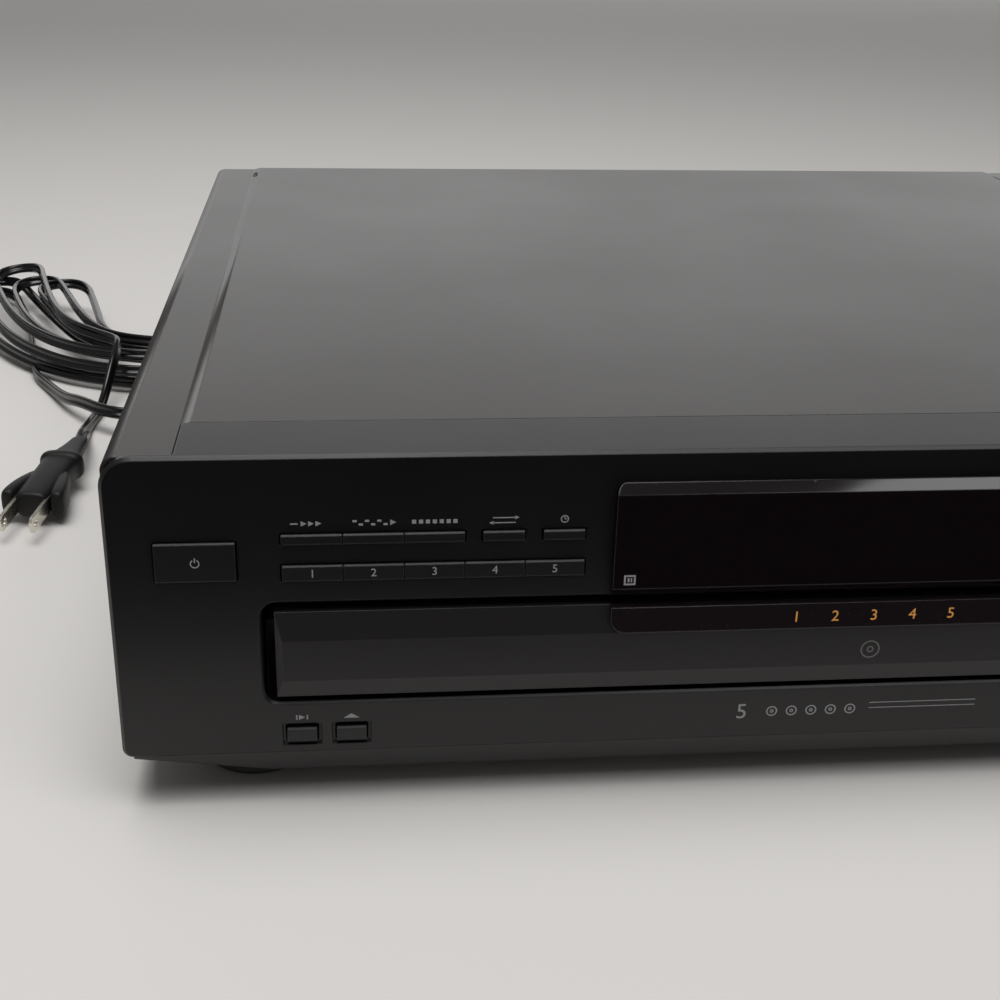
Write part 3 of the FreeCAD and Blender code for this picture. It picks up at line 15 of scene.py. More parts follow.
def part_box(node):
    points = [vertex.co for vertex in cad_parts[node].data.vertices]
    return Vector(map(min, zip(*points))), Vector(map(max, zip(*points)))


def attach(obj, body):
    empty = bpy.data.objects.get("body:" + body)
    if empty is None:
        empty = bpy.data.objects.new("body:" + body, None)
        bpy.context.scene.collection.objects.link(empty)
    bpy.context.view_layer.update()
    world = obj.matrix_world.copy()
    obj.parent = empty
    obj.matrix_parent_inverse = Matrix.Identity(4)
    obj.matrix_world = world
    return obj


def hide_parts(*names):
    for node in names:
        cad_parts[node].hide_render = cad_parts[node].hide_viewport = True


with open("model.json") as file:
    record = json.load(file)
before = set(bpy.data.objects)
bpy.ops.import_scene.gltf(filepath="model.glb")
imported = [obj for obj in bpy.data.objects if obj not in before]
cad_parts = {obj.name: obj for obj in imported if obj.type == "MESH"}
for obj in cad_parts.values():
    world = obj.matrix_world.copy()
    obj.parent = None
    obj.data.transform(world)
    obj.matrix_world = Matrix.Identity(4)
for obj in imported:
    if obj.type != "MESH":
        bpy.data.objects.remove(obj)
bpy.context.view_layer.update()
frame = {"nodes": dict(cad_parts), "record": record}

bl_info = {
    "name": "Five-disc changer",
    "version": (1, 0, 0),
    "blender": (4, 5, 0),
    "location": "View3D > Sidebar > Changer",
    "description": "Finishes, printed marks, mains lead and studio of a five-disc carousel changer",
    "category": "Object",
}

MM = 0.001
NODES = frame["nodes"]


def front_of(node):
    """The y of the foremost point of a node."""
    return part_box(node)[0].y


def middle_of(node):
    """The middle of a node's box."""
    low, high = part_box(node)
    return (low + high) / 2


def front_spot(node):
    """The middle of the front of a node's box."""
    spot = middle_of(node)
    spot.y = front_of(node)
    return spot


# ---- sizes and colours


def number(name, default, description, **kind):
    return FloatProperty(name=name, description=description, default=default, **kind)


def length(name, default, description):
    return number(name, default, description, unit="LENGTH", subtype="DISTANCE")


def angle(name, default, description):
    return number(name, default, description, subtype="ANGLE")


def colour(name, default, description):
    return FloatVectorProperty(
        name=name, description=description, default=default, size=3, min=0, max=1, subtype="COLOR"
    )


class LeadSizes(bpy.types.PropertyGroup):
    """The flat two-conductor mains lead."""

    width: length("Width", 0.0060, "Across both conductors")
    depth: length("Depth", 0.0031, "Across one conductor")
    waist: number("Waist", 0.34, "Depth between the conductors, as a share of the depth")
    station: length("Station", 0.0026, "Between the sections of the lead")
    turning: length("Turning", 0.012, "Over how much lead its roll is evened out")
    levelling: length("Levelling", 0.055, "From each end to where it stands on edge")
    roll: angle("Lean", 0.62, "How far it leans from upright")


class CoverSizes(bpy.types.PropertyGroup):
    """The cut lower front corners of the cover's side flanges."""

    rise: length("Cut height", 0.0042, "How far up the flange's front edge the cut begins")
    run: length("Cut length", 0.0152, "How far back along the flange's lower edge the cut ends")


class PrintSizes(bpy.types.PropertyGroup):
    """The printed marks."""

    raised: length("Raised", 0.00005, "How far the print stands above the plastic")
    numeral: length("Numeral", 0.0024, "Height of the numbers on the disc keys")
    amber_numeral: length("Amber numeral", 0.0034, "Height of the numbers on the drawer")
    well_numeral: length("Well numeral", 0.012, "Height of the numbers in the turntable")
    sign: length("Sign", 0.0021, "Height of the signs over and on the keys")
    rear_letter: length("Rear letter", 0.004, "Height of the letters by the sockets")


class FinishColours(bpy.types.PropertyGroup):
    """The colours of the finishes."""

    face: colour("Face", (0.0062, 0.0052, 0.0056), "Moulded front panel")
    drawer: colour("Drawer", (0.0110, 0.0092, 0.0100), "Drawer front")
    key: colour("Keys", (0.0066, 0.0058, 0.0062), "Moulded keys")
    cover: colour("Cover", (0.0325, 0.0298, 0.0285), "Painted steel cover")
    window: colour("Window", (0.0070, 0.0048, 0.0057), "Display window")
    nose: colour("Drawer nose", (0.0135, 0.0100, 0.0112), "Gloss piece across the drawer's top")
    print: colour("Print", (0.34, 0.34, 0.35), "Printed marks")
    amber: colour("Amber print", (0.95, 0.42, 0.07), "Printed disc numbers on the drawer")
    lead: colour("Lead", (0.0050, 0.0048, 0.0052), "Mains lead and plug")
    floor: colour("Floor", (0.68, 0.66, 0.64), "Studio floor")


class StageSettings(bpy.types.PropertyGroup):
    """The camera and the lamps."""

    place: FloatVectorProperty(
        name="Camera", description="Where the camera stands", default=(-0.1474, -0.5565, 0.2543),
        subtype="TRANSLATION", unit="LENGTH",
    )
    heading: angle("Heading", 0.10961, "Turn to the right")
    pitch: angle("Pitch", 0.41329, "Tilt downwards")
    roll: angle("Roll", 0.02653, "Turn about the line of sight")
    lens: number("Lens", 51.95, "Focal length on a 36 mm sensor")
    rear_power: number("Rear lamp", 29.5, "Broad lamp behind", unit="POWER")
    top_power: number("Top lamp", 12.5, "Broad lamp overhead", unit="POWER")
    front_power: number("Front lamp", 8.4, "Weak lamp in front", unit="POWER")
    card: length("Black card", -0.288, "Where the card that only reflections see begins, in front")
    ambient: number("Ambient", 0.16, "Light from all round")


# ---- finishes

# How much of a rounded edge's normal lies along the surface's own: on a flat, and along a sharp edge.
ON_A_FLAT = 0.995
ON_AN_EDGE = 0.86


class Value:
    """A number on its way through a finish, which can be used in sums."""

    def __init__(self, kit, socket):
        self.kit = kit
        self.socket = socket

    def sum(self, operation, first, second):
        return self.kit.node("ShaderNodeMath", {"operation": operation}, {0: first, 1: second})

    def __add__(self, other):
        return self.sum("ADD", self, other)

    def __radd__(self, other):
        return self.sum("ADD", other, self)

    def __sub__(self, other):
        return self.sum("SUBTRACT", self, other)

    def __rsub__(self, other):
        return self.sum("SUBTRACT", other, self)

    def __mul__(self, other):
        return self.sum("MULTIPLY", self, other)

    def __rmul__(self, other):
        return self.sum("MULTIPLY", other, self)

    def __gt__(self, other):
        return self.sum("GREATER_THAN", self, other)

    def __lt__(self, other):
        return self.sum("LESS_THAN", self, other)


class Kit:
    """Builds the nodes of one finish."""

    def __init__(self, name):
        # The model's plain material of that name makes way.
        plain = bpy.data.materials.get(name)
        if plain:
            plain.name = f"{name}_plain"
        self.material = bpy.data.materials.new(name)
        self.material.use_nodes = True
        self.tree = self.material.node_tree
        self.tree.nodes.clear()
        self.place = self.node("ShaderNodeTexCoord", output="Object")

    def node(self, kind, settings=None, inputs=None, output=0):
        """A node: its settings, then the values or links of its sockets; returns one of its outputs."""
        made = self.tree.nodes.new(kind)
        for name, value in (settings or {}).items():
            setattr(made, name, value)
        for name, value in (inputs or {}).items():
            if isinstance(value, Value):
                self.tree.links.new(value.socket, made.inputs[name])
            else:
                made.inputs[name].default_value = value
        return Value(self, made.outputs[output])

    def mix(self, factor, first, second):
        """A colour between two others."""
        first, second = [v if isinstance(v, Value) else (*v[:3], 1.0) for v in (first, second)]
        return self.node("ShaderNodeMix", {"data_type": "RGBA"}, {0: factor, 6: first, 7: second}, 2)

    def noise(self, scale, detail=2.0, stretch=None, distortion=0.0):
        """A value round 0.5, in grains of 1 / scale; stretch scales each axis."""
        place = self.place
        if stretch:
            place = self.node("ShaderNodeVectorMath", {"operation": "MULTIPLY"}, {0: place, 1: stretch})
        inputs = {"Vector": place, "Scale": scale, "Detail": detail, "Distortion": distortion}
        return self.node("ShaderNodeTexNoise", None, inputs)

    def steps(self, value, low, high):
        """0 at low and 1 at high, smooth between; low may be the greater."""
        settings = {"interpolation_type": "SMOOTHSTEP"}
        return self.node("ShaderNodeMapRange", settings, {0: value, 1: low, 2: high})

    def axis(self, name, place=None):
        """One part, X, Y or Z, of a place."""
        return self.node("ShaderNodeSeparateXYZ", None, {0: place or self.place}, name)

    def rounded(self, radius):
        """The surface's normal, turned as if each sharp edge had that radius."""
        return self.node("ShaderNodeBevel", {"samples": 4}, {"Radius": radius})

    def edges(self, radius):
        """1 along sharp edges, 0 on flats."""
        flat = self.node("ShaderNodeNewGeometry", output="Normal")
        along = self.node(
            "ShaderNodeVectorMath", {"operation": "DOT_PRODUCT"}, {0: flat, 1: self.rounded(radius)}, "Value"
        )
        return self.steps(along, ON_A_FLAT, ON_AN_EDGE)

    def bump(self, height, distance, strength=1.0, normal=None):
        """The surface's normal over a skin with that height, as if it were distance deep."""
        inputs = {"Strength": strength, "Distance": distance, "Height": height}
        if normal:
            inputs["Normal"] = normal
        return self.node("ShaderNodeBump", None, inputs, "Normal")

    def surface(self, **inputs):
        """Ends the finish in one shader; names are the shader's sockets with _ for a space."""
        named = {}
        for name, value in inputs.items():
            if isinstance(value, (tuple, list)) and len(value) == 3:
                value = (*value, 1.0)
            named[name.replace("_", " ")] = value
        shader = self.node("ShaderNodeBsdfPrincipled", None, named)
        end = self.tree.nodes.new("ShaderNodeOutputMaterial")
        self.tree.links.new(shader.socket, end.inputs["Surface"])
        return self.material


def lighter(tint, times):
    """A tint so many times as bright, and darker where that is under 1."""
    return tuple(min(1.0, part * times) for part in tint[:3])


def moulded(name, tint, roughness, grain=0.0004, depth=0.000012, edge=0.0004, specular=0.5, worn=1.7):
    """Fine-textured moulded plastic, a little shinier and lighter where hands rub its edges."""
    kit = Kit(name)
    fine = kit.noise(1 / grain, 3.0)
    cloud = kit.noise(14.0, 3.0)
    rub = kit.edges(edge * 1.6)
    tone = kit.mix(cloud, lighter(tint, 0.86), lighter(tint, 1.14))
    tone = kit.mix(rub * 0.55, tone, lighter(tint, worn))
    return kit.surface(
        Base_Color=tone,
        Roughness=roughness + (cloud - 0.5) * 0.10 + (fine - 0.5) * 0.08 - rub * 0.08,
        Specular_IOR_Level=specular,
        Normal=kit.bump(fine, depth, 1.0, kit.rounded(edge)),
    )


def painted_sheet(name, tint, roughness, peel=0.0016):
    """Satin paint on folded steel: a slight orange peel, faint dust and thin paint along the folds."""
    kit = Kit(name)
    orange = kit.noise(1 / peel)
    cloud = kit.noise(7.0, 4.0)
    dust = kit.steps(kit.noise(520.0, 1.0), 0.70, 0.80)
    rub = kit.edges(0.0009)
    tone = kit.mix(cloud, lighter(tint, 0.90), lighter(tint, 1.10))
    tone = kit.mix(dust * 0.10, tone, (0.30, 0.29, 0.28))
    tone = kit.mix(rub * 0.40, tone, lighter(tint, 2.2))
    return kit.surface(
        Base_Color=tone,
        Roughness=roughness + (cloud - 0.5) * 0.12 + dust * 0.12,
        Normal=kit.bump(orange, 0.00002, 0.6, kit.rounded(0.0006)),
    )


def zinc_plate(name, tint, roughness, cell=0.006):
    """Zinc-plated steel with a faint spangle."""
    kit = Kit(name)
    spangle = kit.node("ShaderNodeTexVoronoi", None, {"Vector": kit.place, "Scale": 1 / cell}, "Color")
    part = kit.axis("X", spangle)
    rolled = kit.noise(240.0, 3.0, (0.1, 1.0, 1.0))
    return kit.surface(
        Base_Color=kit.mix(part * 0.5 + rolled * 0.5, lighter(tint, 0.82), lighter(tint, 1.12)),
        Metallic=1.0,
        Roughness=roughness + (part - 0.5) * 0.10 + (rolled - 0.5) * 0.16,
        Normal=kit.bump(rolled, 0.00001, 0.5, kit.rounded(0.0003)),
    )


def turned_metal(name, tint, roughness, stretch):
    """Bright metal with fine tool or brush lines across the stretched axis."""
    kit = Kit(name)
    lines = kit.noise(1800.0, 2.0, stretch)
    smudge = kit.noise(60.0, 3.0)
    return kit.surface(
        Base_Color=kit.mix(smudge, lighter(tint, 0.88), lighter(tint, 1.06)),
        Metallic=1.0,
        Roughness=roughness + (lines - 0.5) * 0.16 + (smudge - 0.5) * 0.10,
        Normal=kit.bump(lines, 0.000004, 0.7, kit.rounded(0.0002)),
    )


def dark_gloss(name, tint):
    """Polished smoked acrylic: black, with faint wiping marks and flecks of dust."""
    kit = Kit(name)
    wipe = kit.noise(90.0, 3.0, (0.25, 1.0, 1.0), 0.6)
    fleck = kit.steps(kit.noise(900.0, 1.0), 0.72, 0.80)
    return kit.surface(
        Base_Color=kit.mix(fleck * 0.25, tint, lighter(tint, 8.0)),
        Roughness=0.035 + wipe * 0.05 + fleck * 0.10,
        Normal=kit.rounded(0.0005),
    )


def circuit_board(name):
    """Green lacquered board with copper runs under the lacquer and tinned pads."""
    kit = Kit(name)
    runs = kit.node(
        "ShaderNodeTexBrick",
        {"offset": 0.5, "squash": 2.0},
        {"Vector": kit.place, "Scale": 90.0, "Mortar Size": 0.035, "Mortar Smooth": 0.2, "Bias": 0.0},
        "Fac",
    )
    pads = kit.node("ShaderNodeTexVoronoi", None, {"Vector": kit.place, "Scale": 210.0}, "Distance")
    pad = kit.steps(pads, 0.16, 0.12)
    tone = kit.mix(runs, (0.010, 0.075, 0.030), (0.030, 0.150, 0.060))
    return kit.surface(
        Base_Color=kit.mix(pad, tone, (0.55, 0.54, 0.52)),
        Roughness=0.34 - pad * 0.08 + kit.noise(300.0) * 0.08,
        Normal=kit.bump(runs + pad, 0.00003, 0.8, kit.rounded(0.0003)),
    )


def acetal(name, tint):
    """Waxy natural acetal of gears, with faint flow marks."""
    kit = Kit(name)
    flow = kit.noise(120.0, 3.0, None, 1.2)
    return kit.surface(
        Base_Color=kit.mix(flow, lighter(tint, 0.90), lighter(tint, 1.05)),
        Roughness=0.40 + (flow - 0.5) * 0.15,
        Subsurface_Weight=0.15,
        Subsurface_Scale=0.002,
        Normal=kit.bump(flow, 0.000015, 0.6, kit.rounded(0.0003)),
    )


def lead_vinyl(name, tint):
    """Soft vinyl of the mains lead: glossy, with faint scuffs and a slightly wavy skin."""
    kit = Kit(name)
    wave = kit.noise(110.0)
    scuff = kit.steps(kit.noise(900.0), 0.66, 0.80)
    return kit.surface(
        Base_Color=kit.mix(scuff * 0.15, tint, lighter(tint, 2.0)),
        Roughness=0.20 + (wave - 0.5) * 0.08 + scuff * 0.08,
        Normal=kit.bump(wave, 0.00003, 0.4),
    )


def socket_colours(name, split):
    """Insulators of the phono sockets, red for the right and white for the left."""
    kit = Kit(name)
    mottle = kit.noise(900.0)
    side = kit.axis("X") > split
    tone = kit.mix(side, (0.62, 0.61, 0.58), (0.42, 0.016, 0.014))
    return kit.surface(
        Base_Color=kit.mix(mottle * 0.12, tone, (0.05, 0.05, 0.05)),
        Roughness=0.36 + (mottle - 0.5) * 0.12,
        Normal=kit.bump(mottle, 0.00001, 0.5, kit.rounded(0.0002)),
    )


def coated_lens(name):
    """Pickup lens: dark glass with a blue-violet coating that deepens towards its rim."""
    kit = Kit(name)
    facing = kit.node("ShaderNodeLayerWeight", None, {"Blend": 0.35}, "Facing")
    bloom = kit.noise(1500.0)
    return kit.surface(
        Base_Color=kit.mix(facing, (0.020, 0.024, 0.085), (0.10, 0.035, 0.16)),
        Roughness=0.03 + bloom * 0.03,
        Coat_Weight=1.0,
        Normal=kit.rounded(0.0002),
    )


def print_ink(name, tint):
    """Silk-screened ink, slightly broken by the texture under it."""
    kit = Kit(name)
    grain = kit.noise(5200.0)
    return kit.surface(
        Base_Color=kit.mix(kit.steps(grain, 0.30, 0.55), lighter(tint, 0.62), tint),
        Roughness=0.52 + (grain - 0.5) * 0.2,
        Normal=kit.bump(grain, 0.000008, 0.6),
    )


def studio_floor(name, tint):
    """Matt pale floor with the faintest mottling."""
    kit = Kit(name)
    cloud = kit.noise(3.0, 4.0)
    grain = kit.noise(700.0)
    return kit.surface(
        Base_Color=kit.mix(cloud, lighter(tint, 0.985), lighter(tint, 1.015)),
        Roughness=0.75 + (grain - 0.5) * 0.1,
        Specular_IOR_Level=0.25,
        Normal=kit.bump(grain, 0.00002, 0.3),
    )


def make_finishes(tints):
    """All finishes; those of most nodes go by the record's slot names."""
    moulded("face_plastic", tints.face, 0.36, grain=0.00045, depth=0.000014, edge=0.0005, worn=1.35)
    moulded("key_plastic", tints.key, 0.40, depth=0.00001, edge=0.0005, worn=1.9)
    moulded("drawer_plastic", tints.drawer, 0.42, edge=0.0003)
    moulded("knob_plastic", tints.key, 0.36, grain=0.0005, depth=0.00001, edge=0.0006, worn=2.2)
    moulded("tray_plastic", (0.012, 0.0115, 0.012), 0.50, grain=0.0007, depth=0.00002)
    moulded("carousel_plastic", (0.020, 0.0195, 0.021), 0.44, grain=0.0006, depth=0.000016)
    moulded("rail_plastic", (0.018, 0.018, 0.019), 0.42, grain=0.0008, depth=0.00002)
    moulded("mechanism_plastic", (0.028, 0.028, 0.030), 0.46, grain=0.0008, depth=0.00002)
    moulded("cap_plastic", (0.030, 0.029, 0.031), 0.34, grain=0.0006, depth=0.00001)
    moulded("puck_plastic", (0.55, 0.54, 0.50), 0.42, grain=0.0006, depth=0.00001, worn=1.1)
    moulded("foot_plastic", (0.013, 0.0125, 0.0125), 0.55, grain=0.0009, depth=0.00004, edge=0.0008)
    painted_sheet("cover_paint", tints.cover, 0.36)
    painted_sheet("rear_paint", (0.016, 0.0155, 0.016), 0.42, peel=0.0012)
    zinc_plate("chassis_steel", (0.52, 0.53, 0.54), 0.34)
    zinc_plate("motor_steel", (0.50, 0.50, 0.49), 0.30, cell=0.003)
    zinc_plate("core_steel", (0.26, 0.25, 0.24), 0.46, cell=0.002)
    turned_metal("screw_black", (0.030, 0.029, 0.029), 0.34, stretch=(1.0, 1.0, 1.0))
    turned_metal("rod_steel", (0.62, 0.62, 0.61), 0.16, stretch=(1.0, 0.04, 1.0))
    turned_metal("socket_metal", (0.66, 0.64, 0.60), 0.22, stretch=(1.0, 0.04, 1.0))
    turned_metal("blade_nickel", (0.80, 0.76, 0.66), 0.26, stretch=(0.3, 0.05, 1.0))
    dark_gloss("window_gloss", tints.window)
    dark_gloss("nose_gloss", tints.nose)
    circuit_board("board_green")
    acetal("gear_plastic", (0.66, 0.64, 0.57))
    lead_vinyl("cord_rubber", tints.lead)
    moulded("plug_vinyl", (0.0058, 0.0062, 0.0058), 0.50, grain=0.0007, depth=0.00002, specular=0.30)
    socket_colours("socket_plastic", middle_of("socket_cores").x)
    coated_lens("lens_glass")
    print_ink("print_light", tints.print)
    print_ink("print_amber", tints.amber)
    print_ink("print_grey", (0.15, 0.15, 0.15))


# ---- making pieces


def add_piece(name, mesh, finish, body):
    """A finished piece that rides on a body."""
    piece = bpy.data.objects.new(name, mesh)
    bpy.context.scene.collection.objects.link(piece)
    mesh.materials.clear()
    mesh.materials.append(bpy.data.materials[finish])
    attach(piece, body)
    return piece


def mesh_of(form, name, smooth=False):
    """Turns a form's faces outwards and makes it a mesh."""
    bmesh.ops.recalc_face_normals(form, faces=form.faces)
    mesh = bpy.data.meshes.new(name)
    form.to_mesh(mesh)
    form.free()
    for face in mesh.polygons:
        face.use_smooth = smooth
    return mesh


def skin(form, rings):
    """Closes a row of rings into the skin of a solid."""
    for low, high in zip(rings, rings[1:]):
        for k in range(len(low)):
            j = (k + 1) % len(low)
            form.faces.new((low[k], low[j], high[j], high[k]))
    form.faces.new(rings[0][::-1])
    form.faces.new(rings[-1])


FRONTWARD = Matrix.Rotation(math.radians(90), 4, "X")
REARWARD = Matrix.Rotation(math.radians(180), 4, "Z") @ FRONTWARD
# A numeral's height, as a share of its letters' size.
NUMERAL_SHARE = 0.70


def printed(name, outlines, spot, finish="print_light", body="cabinet"):
    """Closed convex outlines, in millimetres, as raised print that faces the front."""
    raised = bpy.context.scene.changer_print.raised
    levels = (-raised, raised)
    form = bmesh.new()
    for outline in outlines:
        skin(form, [[form.verts.new((x * MM, y * MM, level)) for x, y in outline] for level in levels])
    form.transform(Matrix.Translation(spot) @ FRONTWARD)
    return add_piece(name, mesh_of(form, name), finish, body)


def numeral(name, words, height, spot, finish="print_light", body="cabinet", turn=FRONTWARD):
    """Numbers or letters as raised print, centred on a spot; turn takes their plane to the surface's."""
    drawn = bpy.data.curves.new(name, "FONT")
    drawn.body = words
    drawn.size = height / NUMERAL_SHARE
    drawn.align_x = "CENTER"
    drawn.align_y = "CENTER"
    drawn.extrude = bpy.context.scene.changer_print.raised
    drawn.resolution_u = 3
    holder = bpy.data.objects.new(name, drawn)
    bpy.context.scene.collection.objects.link(holder)
    bpy.context.view_layer.update()
    mesh = bpy.data.meshes.new_from_object(holder)
    bpy.data.objects.remove(holder)
    bpy.data.curves.remove(drawn)
    mesh.transform(Matrix.Translation(spot) @ turn)
    return add_piece(name, mesh, finish, body)


def bar(x, y, width, height):
    """An upright rectangle, by its middle."""
    corners = ((-1, -1), (1, -1), (1, 1), (-1, 1))
    return [(x + across * width / 2, y + up * height / 2) for across, up in corners]


def arrow(x, y, size, way=1):
    """A triangle that points right for way 1 and left for way -1."""
    return [(x - way * size / 2, y - size / 2), (x + way * size / 2, y), (x - way * size / 2, y + size / 2)]


def wedge(x, y, width, height):
    """A triangle that points up, by the middle of its base."""
    return [(x - width / 2, y), (x + width / 2, y), (x, y + height)]


def ring(x, y, radius, width, first=0, last=360, count=20):
    """An arc of a ring, as short convex pieces."""
    pieces = []
    for k in range(count):
        a, b = [math.radians(first + (last - first) * (k + j) / count) for j in (0, 1)]
        inner = radius - width
        corners = ((a, inner), (a, radius), (b, radius), (b, inner))
        pieces.append([(x + math.cos(turn) * reach, y + math.sin(turn) * reach) for turn, reach in corners])
    return pieces


# ---- mains lead

# The lead's control points before and after the hank, in millimetres.
LEAD_START = [
    (-190, 215, 26), (-190, 230, 26), (-196, 244, 19), (-210, 254, 8), (-227, 252, 3.4),
    (-238, 238, 3.4), (-237, 218, 3.4), (-233, 196, 3.4), (-230, 173, 3.4), (-229, 151, 3.6),
    (-230, 130, 4.6), (-236, 112, 7.8), (-248.5, 103, 11), (-265, 105.5, 11.8), (-281, 127, 10),
    (-290.5, 141, 6.2), (-304, 169, 3.4), (-314.5, 188, 3.4), (-321, 220, 3.4), (-323.5, 232, 3.8),
]
LEAD_END = [
    (-268.5, 180, 24), (-267, 170, 24), (-268.5, 156, 17.5), (-270.5, 144, 8.5), (-272, 130, 3.2),
    (-274, 114, 3), (-274, 98, 4.5), (-271.6, 82, 9.5), (-270, 66, 12.5),
]
# The middle line of the loose hank, from its inner end: x, y and half width.
HANK_LINE = [
    (-246, 178, 17), (-264, 181, 18), (-284, 190, 20), (-303, 209, 24), (-319, 238, 28), (-332, 271, 31),
    (-344, 306, 32), (-354, 338, 32),
]
# The length of a share of 1 past either end of that line, in millimetres.
HANK_LENGTH = 190.0
# Each run of the hank, outward and back by turns: its ends as shares of the line, its side and its height at
# each, and where it has points.
EVENLY = (0.12, 0.3, 0.5, 0.7, 0.88)
HANK_RUNS = [
    ((0.40, 0.95), (0.0, 0.0), (5, 6), (0.58, 0.84)),
    ((0.03, 0.93), (0.75, 0.95), (5, 8), EVENLY),
    ((0.00, 0.98), (-0.9, -0.15), (9, 11), EVENLY),
    ((0.03, 0.98), (0.85, 0.6), (12, 12), EVENLY),
    ((0.04, 0.80), (-0.7, -0.3), (14, 17), EVENLY),
    ((0.05, 0.80), (-1.0, -1.2), (15, 17), EVENLY),
    ((0.06, 0.86), (0.35, 0.1), (17, 15), EVENLY),
    ((0.0, 0.86), (-0.85, -0.75), (19, 18), EVENLY),
    ((0.03, 0.97), (0.5, 0.35), (19, 16), EVENLY),
    ((0.08, 0.97), (-0.1, -0.5), (24, 21), (0.22, 0.38, 0.55, 0.72, 0.90)),
]
# Where a fold between two runs has points, in degrees, and how far it reaches for its half width.
FOLD = (-90, -45, 0, 45, 90)
FOLD_REACH = 1.05


def blend(pair, share):
    return pair[0] + (pair[1] - pair[0]) * share


def hank_stretch(share):
    """The two points of the hank's line beside a share of it, and how far on from the first it is."""
    place = min(max(share, 0.0), 1.0) * (len(HANK_LINE) - 1)
    k = min(int(place), len(HANK_LINE) - 2)
    return HANK_LINE[k], HANK_LINE[k + 1], place - k


def hank_point(share, side, height):
    """A place by its share of the hank's line and its side of it."""
    here, after, part = hank_stretch(share)
    x, y, half = (blend(pair, part) for pair in zip(here, after))
    along = Vector((after[0] - here[0], after[1] - here[1])).normalized()
    past = max(share - 1.0, 0.0) + min(share, 0.0)
    x += along.x * past * HANK_LENGTH - along.y * side * half
    y += along.y * past * HANK_LENGTH + along.x * side * half
    return x, y, height


def hank_half(share):
    """Half the hank's width at a share of its line."""
    here, after, part = hank_stretch(share)
    return blend((here[2], after[2]), part)


def fold_points(run, other, end):
    """The points of the fold between two runs, at their far ends for end 1 and near ends for 0."""
    ends, sides, heights = ((here[end], there[end]) for here, there in zip(run[:3], other[:3]))
    share, middle, swing = sum(ends) / 2, sum(sides) / 2, (sides[0] - sides[1]) / 2
    reach = abs(swing) * hank_half(share) * (FOLD_REACH if end else -FOLD_REACH) / HANK_LENGTH
    points = []
    for degrees in FOLD:
        turn = math.radians(degrees)
        rise = (degrees - FOLD[0]) / (FOLD[-1] - FOLD[0])
        place = share + reach * math.cos(turn), middle - swing * math.sin(turn)
        points.append(hank_point(*place, blend(heights, rise)))
    return points


def lead_points():
    """The lead's control points in millimetres, from the cabinet through the hank to the plug."""
    points = list(LEAD_START)
    for k, run in enumerate(HANK_RUNS):
        outward = k % 2 == 0
        *spans, marks = run
        for mark in marks if outward else marks[::-1]:
            points.append(hank_point(*(blend(span, mark) for span in spans)))
        if k + 1 < len(HANK_RUNS):
            points += fold_points(run, HANK_RUNS[k + 1], 1 if outward else 0)
    return points + LEAD_END


def smooth_line(name, points):
    """A curve with those control points, which it passes near, on a quadratic spline."""
    drawn = bpy.data.curves.new(name, "CURVE")
    drawn.dimensions = "3D"
    drawn.resolution_u = 8
    spline = drawn.splines.new("NURBS")
    spline.points.add(len(points) - 1)
    for knot, (x, y, z) in zip(spline.points, points):
        knot.co = (x * MM, y * MM, z * MM, 1.0)
    spline.order_u = 3
    spline.use_endpoint_u = True
    return drawn


def read_line(drawn, spacing):
    """Points read from a curve, about evenly spaced."""
    holder = bpy.data.objects.new(drawn.name, drawn)
    bpy.context.scene.collection.objects.link(holder)
    bpy.context.view_layer.update()
    mesh = bpy.data.meshes.new_from_object(holder)
    raw = [vertex.co.copy() for vertex in mesh.vertices]
    bpy.data.objects.remove(holder)
    bpy.data.meshes.remove(mesh)
    reach = [0.0]
    for a, b in zip(raw, raw[1:]):
        reach.append(reach[-1] + (b - a).length)
    count = max(2, round(reach[-1] / spacing))
    line, k = [], 0
    for step in range(count + 1):
        want = reach[-1] * step / count
        while k < len(raw) - 2 and reach[k + 1] < want:
            k += 1
        share = (want - reach[k]) / max(reach[k + 1] - reach[k], 1e-9)
        line.append(raw[k].lerp(raw[k + 1], min(max(share, 0.0), 1.0)))
    return line, reach[-1]


# The angles of a conductor's points from its outer side; the last lie at the waist.
CONDUCTOR = (-128, -90, -54, -18, 18, 54, 90, 128)
# How high those last would lie on its round, as a share of its half depth.
WAIST_ON_ROUND = 0.79


def lead_section(sizes):
    """The section of two joined round conductors, as points of across and up."""
    round_half = sizes.depth / 2
    centre = sizes.width / 2 - round_half
    section = []
    for side in (1, -1):
        for degrees in CONDUCTOR:
            turn = math.radians(degrees)
            narrowing = sizes.waist / WAIST_ON_ROUND if abs(degrees) == CONDUCTOR[-1] else 1.0
            section.append((
                side * (centre + round_half * math.cos(turn)),
                side * round_half * math.sin(turn) * narrowing,
            ))
    return section


# The way the lead's broad side turns to.
BROAD_SIDE = Vector((0.19, -0.98, 0.0))
# The slow unevenness of its roll: how far, how many radians for each metre of lead, and from where.
UNEVEN = ((0.12, 23.0, 0.0), (0.08, 51.0, 1.0))


